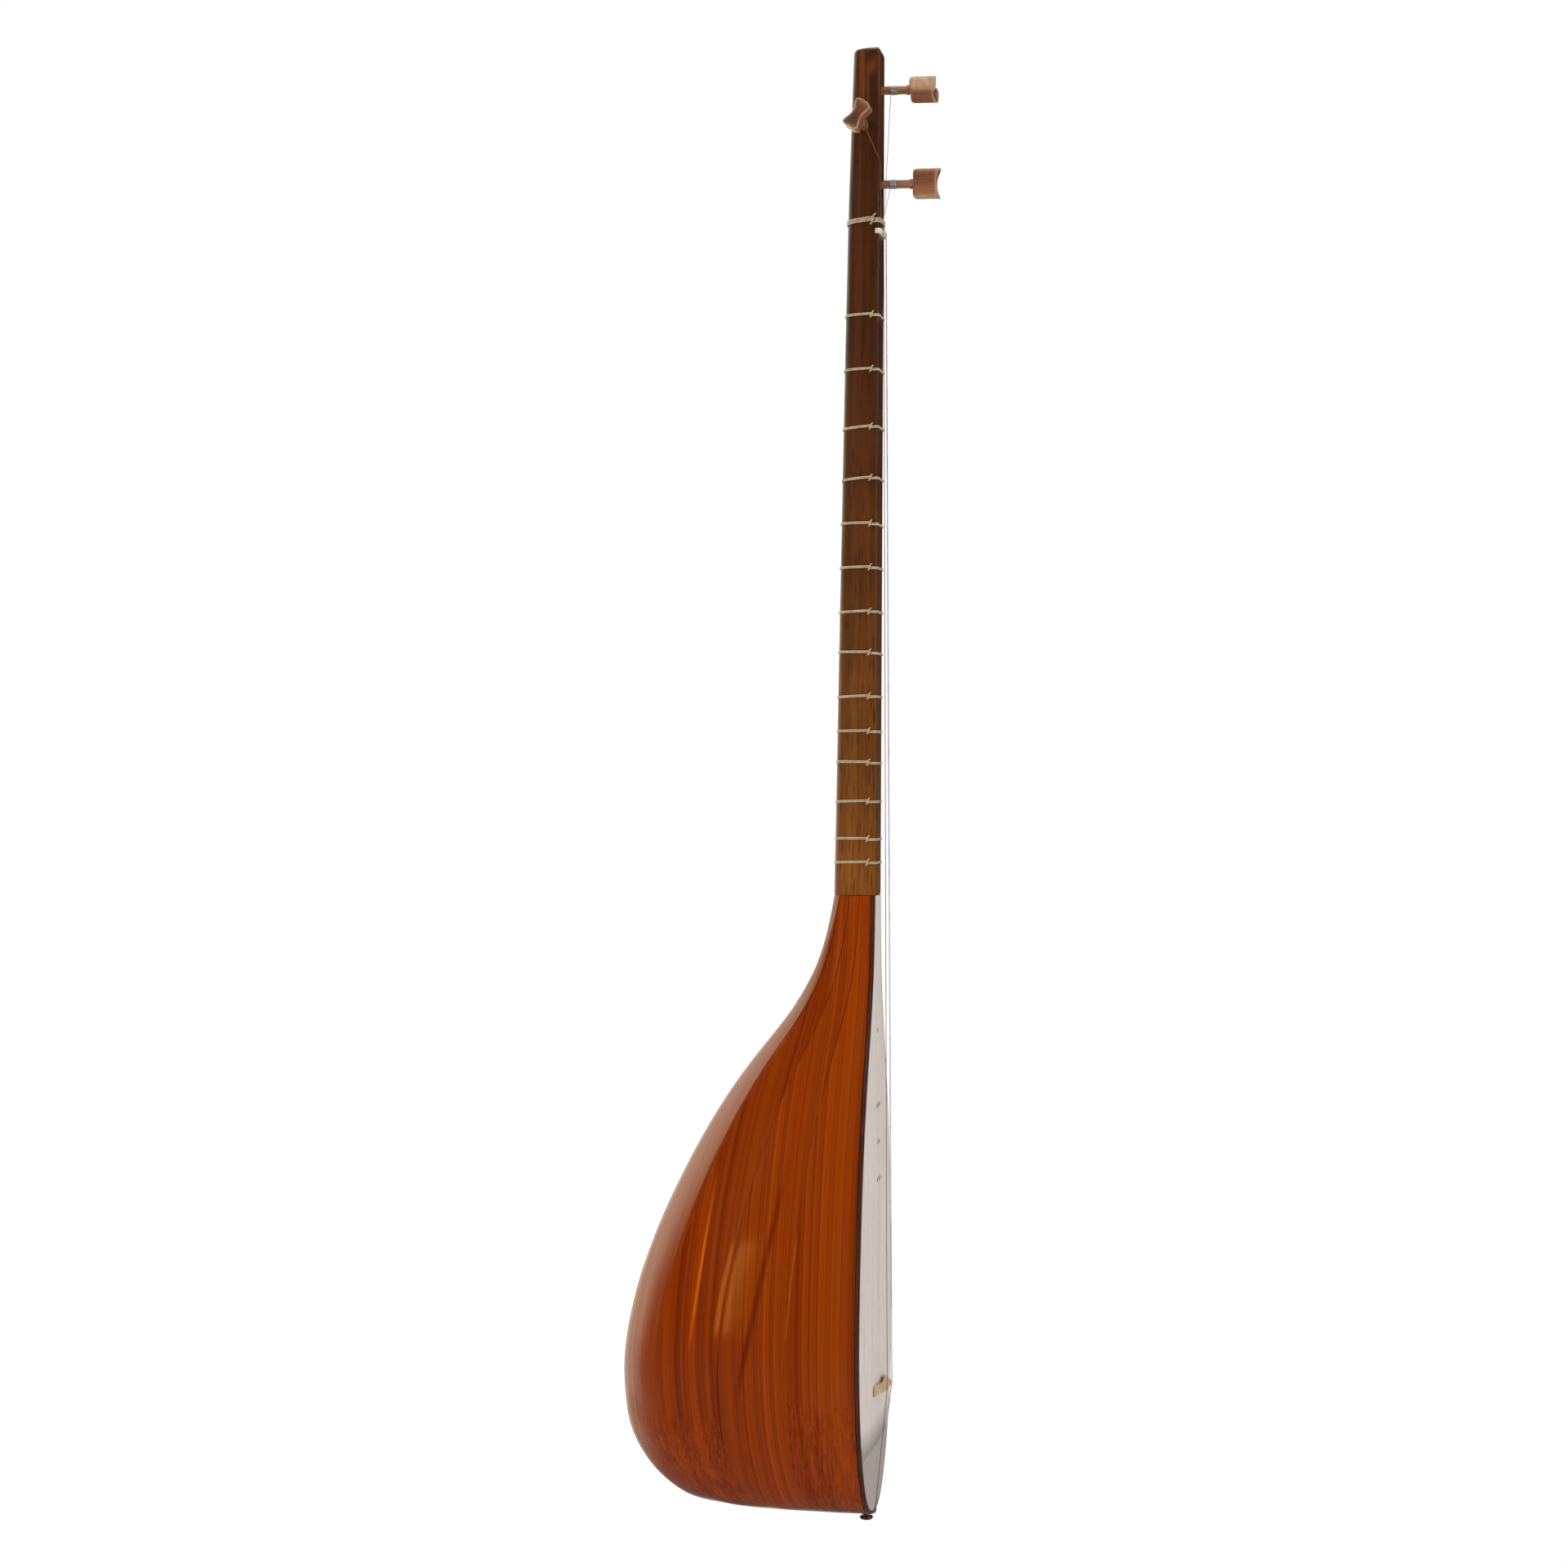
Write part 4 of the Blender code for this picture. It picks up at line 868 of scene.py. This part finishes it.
# The bridge is a low bar of pale wood on two feet. Nothing but the strings' pressure holds it, so
# it can be slid along the soundboard, and its top is filed narrow where the strings cross.
bridge_wood = make_plain_wood(
    "bridge_pale_wood", ((0.660, 0.500, 0.310), (0.470, 0.320, 0.180), (0.220, 0.130, 0.065)),
    {"fineness": 1300, "stretch": 20, "figure": 0.45, "pore_share": 0.5},
    0.15, 0.48, 0.00004, 0.7, turn=90, IOR=1.42)
bridge = copy_of("bridge", "string_bridge")
crease(bridge, 40)
refine(bridge, "SUBSURF", levels=2, render_levels=2)
soften(bridge, 0.0003, 2, 40)
finish_piece(bridge, "bridge", bridge_wood, "bridge", smooth=35)


# Three pegs of fruitwood hold by friction in tapered bores: two stand out of the front of the head
# and one out of the bass side. Each has a turned shaft and a flat grip, hollowed on both faces
# and at its end. The rim of its end is worn pale by fingers, its lobes are made paler as a
# painted highlight, and the hollow in its end is darkened as painted shade.
PEG_SHAFT_RADIUS = 0.00255
PEG_TIP_RADIUS = 0.00205
GRIP_LENGTH = 0.0170
GRIP_WIDTH = 0.0182
GRIP_THICKNESS = 0.0098
GRIP_WAIST = 0.0066
GRIP_DISH = 0.0024
# Across the grip: place as a share of its width, and thickness as a share of its full thickness
GRIP_PROFILE = (
    (-0.500, 0.36), (-0.494, 0.56), (-0.475, 0.76), (-0.440, 0.93), (-0.395, 1.0), (-0.330, 0.975),
    (-0.250, 0.885), (-0.160, 0.765), (-0.080, 0.695), (0.0, GRIP_WAIST / GRIP_THICKNESS),
)
# Along the grip: place, width and thickness as shares
GRIP_STATIONS = (
    (0.0, 0.80, 0.66), (0.012, 0.875, 0.80), (0.034, 0.93, 0.91), (0.070, 0.965, 0.97),
    (0.130, 0.985, 0.99), (0.30, 0.99, 1.0), (0.55, 0.98, 1.0), (0.80, 0.99, 1.0), (1.0, 1.0, 1.0),
)
FORWARD = Matrix(((1, 0, 0, 0), (0, 0, -1, 0), (0, 1, 0, 0), (0, 0, 0, 1)))
SIDEWAYS = Matrix(((0, 0, -1, 0), (-1, 0, 0, 0), (0, 1, 0, 0), (0, 0, 0, 1)))
# Each peg's name, the place and way of its shaft, how deep it goes, where its grip starts, and
# the angle at which the grip stands
PEGS = (
    ("upper", Matrix.Translation((0, 0, UPPER_PEG_Z)) @ FORWARD, 0.01794, 0.0174, 70),
    ("lower", Matrix.Translation((0, 0, LOWER_PEG_Z)) @ FORWARD, 0.01966, 0.0196, -3),
    ("side", Matrix.Translation((-0.01257, SIDE_PEG_Y, SIDE_PEG_Z)) @ SIDEWAYS,
     0.02514, 0.0240, -32),
)


def carve_grip(name, start):
    """The flat grip of a peg, from its narrow shoulder to its dished end."""
    profile = GRIP_PROFILE + tuple((-share, full) for share, full in reversed(GRIP_PROFILE[:-1]))
    count = len(profile)
    vertices, faces = [], []
    for station, wide, thick in GRIP_STATIONS:
        row = []
        for share, full in profile:
            dish = GRIP_DISH * (1 - (2 * share) ** 2) * station ** 4
            row.append((GRIP_THICKNESS / 2 * full * thick, GRIP_WIDTH * share * wide,
                        start + GRIP_LENGTH * station - dish))
        vertices += row + [(-x, y, z) for x, y, z in reversed(row)]
    size = 2 * count
    for level in range(len(GRIP_STATIONS) - 1):
        for i in range(size):
            j = (i + 1) % size
            low, high = level * size, (level + 1) * size
            faces.append((low + i, low + j, high + j, high + i))
    for low, step in ((0, 1), ((len(GRIP_STATIONS) - 1) * size, -1)):
        for i in range(count - 1):
            quad = (low + i, low + size - 1 - i, low + size - 2 - i, low + i + 1)
            faces.append(quad[::step])
    grip = link_new(name, new_mesh(name, vertices, [], faces))
    # The end is hollowed inside a narrow rim
    edit(grip, everything=False)
    shape = bmesh.from_edit_mesh(grip.data)
    shape.faces.ensure_lookup_table()
    for face in shape.faces[-(count - 1):]:
        face.select = True
    bmesh.update_edit_mesh(grip.data)
    for inset, deeper in ((0.0011, 0.0009), (0.0007, 0.0005)):
        bpy.ops.mesh.inset(thickness=inset, depth=0)
        bpy.ops.transform.translate(value=(0, 0, -deeper))
    leave_closed()
    return grip


def held(value):
    """A value kept between 0 and 1."""
    return min(max(value, 0.0), 1.0)


def mark_wear_and_painted_light(piece, start):
    """Note how worn each place on a grip is, its end rim most, with its lobes as a painted
    highlight, and how deep in its hollow end, for painted shade.
    """
    rubbed = piece.data.attributes.new("rubbed", "FLOAT", "POINT")
    hollow = piece.data.attributes.new("hollow", "FLOAT", "POINT")
    for vertex in piece.data.vertices:
        x, y, z = vertex.co
        share = abs(y) / (GRIP_WIDTH / 2)
        end = start + GRIP_LENGTH - GRIP_DISH * (1 - min(share, 1.0) ** 2)
        # The lobes are marked paler only as a painted highlight, for light from above; the end rim
        # is real wear
        lit_lobe = held((share - 0.72) / 0.25) * (z > start)
        rubbed.data[vertex.index].value = max(held(1 - (end - z) / 0.0011), 0.55 * lit_lobe)
        inside = vertex.normal.z > 0.5 or share < 0.86 and abs(x) < GRIP_THICKNESS * 0.5 - 0.0010
        deep = held((end - z - 0.0002) / 0.0007)
        hollow.data[vertex.index].value = deep * (inside and end - z < 0.0018)


def make_peg_wood():
    material, tree, shader = new_material(
        "peg_fruitwood", IOR=1.45, Coat_Weight=0.15, Coat_Roughness=0.3)
    place = object_place(tree, turn=(math.radians(90), 0, 0))
    spot = object_spot(tree)
    grain = wood_grain(place, (0.305, 0.107, 0.038), (0.170, 0.052, 0.018),
                       (0.060, 0.022, 0.012), fineness=1500, stretch=14, figure=0.5,
                       pore_share=0.55)
    # Pale where the end rim is worn, and on the lobes as a painted highlight
    rubbed = add(tree, "Attribute", attribute_name="rubbed").outputs["Fac"]
    patchy = spread(noise(spot, 320, 3), 0.32, 0.60, 0.55, 1.0)
    pale_wear_and_highlight = times(times(rubbed, patchy), 0.80)
    tone = blend(pale_wear_and_highlight, grain["Color"], (0.780, 0.545, 0.305))
    grime_and_shade_noise = noise(spot, 95, 4)
    dirt = spread(grime_and_shade_noise, 0.52, 0.72, 0.0, 0.4)
    tone = blend(dirt, tone, (0.130, 0.060, 0.038))
    # The hollow in the end is darkened, in patches, as painted shade
    hollow = add(tree, "Attribute", attribute_name="hollow").outputs["Fac"]
    hollow_shade = times(hollow, spread(grime_and_shade_noise, 0.40, 0.62, 0.10, 0.75))
    tone = blend(hollow_shade, tone, (0.075, 0.028, 0.016))
    dress(shader, tone, spot, 0.20, spread(rubbed, 0, 1, 0.46, 0.36), grain["Height"], 0.00005, 0.7)
    return material


peg_wood = make_peg_wood()
for place, axis, bore, shaft, turn in PEGS:
    tip = 0.0005 - bore
    # The shaft's outline: its rounded tip, its taper, and a collar just under the grip
    outline = [(0.0, tip)]
    outline += [(PEG_TIP_RADIUS + wide, tip + rise)
                for wide, rise in ((-0.0006, 0.0), (-0.0002, 0.0002), (0.0, 0.0006))]
    outline.append((PEG_SHAFT_RADIUS, 0.0))
    outline += [(PEG_SHAFT_RADIUS + wide, shaft + rise) for wide, rise in (
        (0.0, -0.0030), (0.0002, -0.0022), (0.00055, -0.0016), (0.0006, -0.0011),
        (0.0003, -0.0006), (0.0001, 0.0), (0.0, 0.0060))]
    outline.append((0.0, shaft + 0.0065))
    peg = carve_grip(f"{place}_peg", shaft)
    soften(peg, 0.0005, 3, 50)
    mark_wear_and_painted_light(peg, shaft)
    peg.data.transform(Matrix.Rotation(math.radians(turn), 4, "Z"))
    stem = turn_on_lathe(f"{place}_peg_stem", outline, (0, 0, 0), steps=32)
    cut(peg, stem, "UNION")
    peg.data.transform(axis)
    finish_piece(peg, f"peg_{place}", peg_wood, f"peg_{place}", smooth=38)


# The strings are plain steel for the two trebles and steel wound with bronze for the bass. Each is
# hooked on the tail button, passes over the bridge and the nut and under the gut tie, and its last
# turns are wound on its peg.
WINDING_START = 0.0056
WINDING_TURNS = 6
WINDING_PITCH = 0.00060
WINDING_STEPS = 24
HOOK_ANGLES = (10, 35, 60, 85, 110, 135, 160, 180)
HOOK_RADIUS = 0.0023
BRIDGE_TOP_Y = -0.00857
BRIDGE_Z = -0.73005
NUT_TOP_Y = -0.00210
TREBLE_RADIUS = 0.00018
# The strings' gap to the corner of the board's tail edge, and where they meet the nut and the tie
CORNER_GAP = 0.00052
NUT_EDGES_Z = (-0.02459, -0.0225)
TIE_EDGES_Z = (-0.01904, -0.01406)
# The bass string bends here, on its way from the tie to the side peg
BASS_BEND = (-0.01300, STRING_Y_AT_TIE, 0.01869)
# Gaps to the peg, of the turns and of the string that joins them
WINDING_GAP = 0.00004
JOINING_GAP = WINDING_GAP + 0.00003
# Each string's name, peg, radius, height of its hook on the button, the side where the hook
# starts, and its places across at the button and at the bridge
STRINGS = (
    ("bass", "side", BASS_RADIUS, -0.80833, 1, -0.0022, -0.0130),
    ("treble_1", "lower", TREBLE_RADIUS, -0.80947, -1, 0.0014, 0.0085),
    ("treble_2", "upper", TREBLE_RADIUS, -0.8089, -1, 0.0029, 0.0130),
)


def string_route(radius, hook_z, side, at_button, at_bridge, at_nut):
    """Round the button, over the board's tail edge, the bridge and the nut, under the gut tie."""
    reach = HOOK_RADIUS + radius
    hook = [Vector((round(side * reach * math.cos(turn), 5),
                    round(BUTTON_Y + reach * math.sin(turn), 5), hook_z))
            for turn in map(math.radians, HOOK_ANGLES)]
    way = [(at_button, CORNER_GAP, TAIL_Z - CORNER_GAP),
           (at_button, -CORNER_GAP, TAIL_Z - CORNER_GAP),
           (at_button, -CORNER_GAP, TAIL_Z + CORNER_GAP),
           (at_bridge, BRIDGE_TOP_Y - radius, BRIDGE_Z)]
    way += [(at_nut, NUT_TOP_Y - radius, z) for z in NUT_EDGES_Z]
    way += [(at_nut, STRING_Y_AT_TIE, z) for z in TIE_EDGES_Z]
    return smooth_route(hook, 3) + [Vector(spot) for spot in way]


def make_wire(name, colour, roughness, wraps):
    material, tree, shader = new_material(name, Metallic=0.75)
    along = split(add(tree, "UVMap", uv_map="lay").outputs["UV"])["X"]
    spot = object_spot(tree)
    wrap = reckon("SINE", times(along, wraps * 2 * math.pi))
    tarnish = spread(noise(spot, 130, 3), 0.45, 0.75)
    tone = blend(tarnish, colour, tuple(0.62 * c for c in colour))
    dress(shader, tone, spot, 0.15, roughness, wrap, 0.00002, 0.6)
    return material


steel = make_wire("treble_steel_wire", (0.80, 0.79, 0.76), 0.30, 900.0)
bronze = make_wire("bass_bronze_wound", (0.36, 0.21, 0.10), 0.40, 6200.0)
axes = {place: axis for place, axis, _, _, _ in PEGS}
for (course, place, radius, *ways), at_nut in zip(STRINGS, STRING_PLACES_AT_NUT):
    low = course == "bass"
    wire, slot = (bronze, "bass_bronze") if low else (steel, "treble_steel")
    at_peg = PEG_SHAFT_RADIUS + radius
    route = string_route(radius, *ways, at_nut)
    if low:
        route.append(Vector(BASS_BEND))
    # It lies against the peg in a short arc, just short of the first turn that is wound on it
    joining = math.radians(-60 if low else -40)
    reach = at_peg + JOINING_GAP
    for step in range(9):
        turn = joining * (1 - step / 8)
        route.append(axes[place] @ Vector((
            reach * math.cos(turn), reach * math.sin(turn), WINDING_START - 2.2 * radius)))
    string = strand(f"{course}_string", route, radius, 8)
    finish_piece(string, "body", wire, f"string_{course}", smooth=60)
    turns = []
    reach = at_peg + WINDING_GAP
    for i in range(WINDING_TURNS * WINDING_STEPS + 1):
        turn = 2 * math.pi * i / WINDING_STEPS
        turns.append(axes[place] @ Vector((
            reach * math.cos(turn), reach * math.sin(turn),
            WINDING_START + WINDING_PITCH * i / WINDING_STEPS)))
    winding = strand(f"{place}_winding", turns, radius, 8)
    finish_piece(winding, f"peg_{place}", wire, f"winding_{place}", smooth=60)


# The studio: a pale floor well below the lute, which hangs by its neck, under soft lamps. Further
# out the floor and the backdrop run into one white, and a window's panes shine on the bowl.
FLOOR_Z = -1.15
BOWL_ABOVE_FLOOR = 0.44
WHITE = (1.0, 1.0, 1.0)
WARM = (1.0, 0.55, 0.14)
# The mirrored backdrop is a little off white
WALL_TINT = (0.88, 1.0, 0.82)
# The place on the bowl that the window's panes face
PATCH = (-0.07, 0.075, -0.66)
LAMPS = (
    ("side_softbox", (-1.25, 1.50, 0.15), (0, 0.06, -0.55), 0.75, 1.00, 15.5, False, WHITE),
    ("back_strip", (1.10, 1.35, -0.30), (0, 0.10, -0.55), 0.45, 1.70, 14.0, False, WHITE),
    ("front_fill", (-0.95, -1.95, -0.10), (0, 0.0, -0.40), 1.20, 1.50, 20.0, True, WHITE),
    ("top_softbox", (-0.30, 0.20, 1.65), (0, 0.02, -0.30), 1.10, 1.10, 16.0, True, WHITE),
    ("far_fill", (1.90, -0.60, 0.20), (0, 0.05, -0.40), 1.20, 1.20, 16.0, False, WHITE),
    ("window_left_pane", (-1.325, 1.365, -0.53), PATCH, 0.225, 0.56, 1.15, True, WARM),
    ("window_right_pane", (-1.485, 1.188, -0.53), PATCH, 0.225, 0.56, 1.15, True, WARM),
)


def mirrored_room(way):
    """What polished faces mirror by its direction: a dark room, and white behind the bowl's back."""
    steep = split(vectors("NORMALIZE", way))["Z"]
    flat = vectors("NORMALIZE", vectors("MULTIPLY", way, (1, 1, 0)))
    parts = split(flat)
    behind = times(spread(parts["X"], 0.27, 0.42), spread(parts["Y"], 0.13, 0.22))
    behind = times(behind, spread(steep, -0.62, -0.25))
    return spread(behind, 0.0, 1.0, 0.020, 1.20)


def kinds_of_ray(tree):
    """Whether a ray is mirrored, whether it comes from the eye, and the tint that it meets."""
    rays = add(tree, "LightPath").outputs
    seen = reckon("MAXIMUM", rays["Is Camera Ray"], rays["Is Transmission Ray"])
    return rays["Is Glossy Ray"], seen, blend(rays["Is Glossy Ray"], WHITE, WALL_TINT)


bpy.ops.object.select_all(action="DESELECT")
bpy.ops.mesh.primitive_plane_add(size=16, location=(0, 0, FLOOR_Z))
floor = bpy.context.object
floor.name = "studio_floor"
material, tree, shader = new_material("floor_pale_matt", Roughness=0.9)
glossy, seen, tint = kinds_of_ray(tree)
spot = object_spot(tree)
dust = spread(noise(spot, 60, 4), 0.3, 0.7)
pale = blend(dust, (0.84, 0.84, 0.83), (0.88, 0.88, 0.87))
tree.links.new(pale, shader.inputs["Base Color"])
# Towards its edge the floor turns into plain white for the eye
away = spread(vectors("LENGTH", spot), 0.35, 1.15, 0.55, 1.0)
share = reckon("MAXIMUM", times(seen, away), times(glossy, 0.92))
from_bowl = vectors("ADD", spot, (0, 0, -BOWL_ABOVE_FLOOR))
level = reckon("MAXIMUM", seen, mirrored_room(from_bowl))
glow = add(tree, "Emission", {"Color": tint, "Strength": level}).outputs["Emission"]
mixed = add(tree, "MixShader", {0: share, 1: shader.outputs["BSDF"], 2: glow})
tree.links.new(mixed.outputs[0], tree.nodes["Material Output"].inputs["Surface"])
floor.data.materials.append(material)

world = bpy.data.worlds.new("studio")
bpy.context.scene.world = world
world.use_nodes = True
tree = world.node_tree
glossy, seen, tint = kinds_of_ray(tree)
mirrored = mirrored_room(add(tree, "TexCoord").outputs["Generated"])
light = add(tree, "Mix", {"Factor": glossy, "A": 0.42, "B": mirrored}).outputs[0]
strength = add(tree, "Mix", {"Factor": seen, "A": light, "B": 1.0}).outputs[0]
tree.links.new(tint, tree.nodes["Background"].inputs["Color"])
tree.links.new(strength, tree.nodes["Background"].inputs["Strength"])

for name, place, aim, width, height, power, mirrored, colour in LAMPS:
    lamp = bpy.data.lights.new(name, "AREA")
    lamp.shape = "RECTANGLE"
    lamp.size = width
    lamp.size_y = height
    lamp.energy = power
    lamp.color = colour
    stand = link_new(name, lamp)
    stand.location = place
    stand.rotation_euler = (Vector(aim) - Vector(place)).to_track_quat("-Z", "Y").to_euler()
    stand.visible_glossy = mirrored

camera = bpy.data.cameras.new("photo_camera")
camera.sensor_width = 36.0
camera.lens = 79.196
camera.shift_x = -0.00886
camera.shift_y = -0.00149
camera.clip_start = 0.05
camera.clip_end = 60.0
viewer = link_new("photo_camera", camera)
viewer.location = (-2.10171, -0.25404, -0.36002)
viewer.rotation_euler = (math.radians(90), -0.00516, math.radians(-81.769))
bpy.context.scene.camera = viewer
bpy.context.scene.view_settings.view_transform = "Standard"
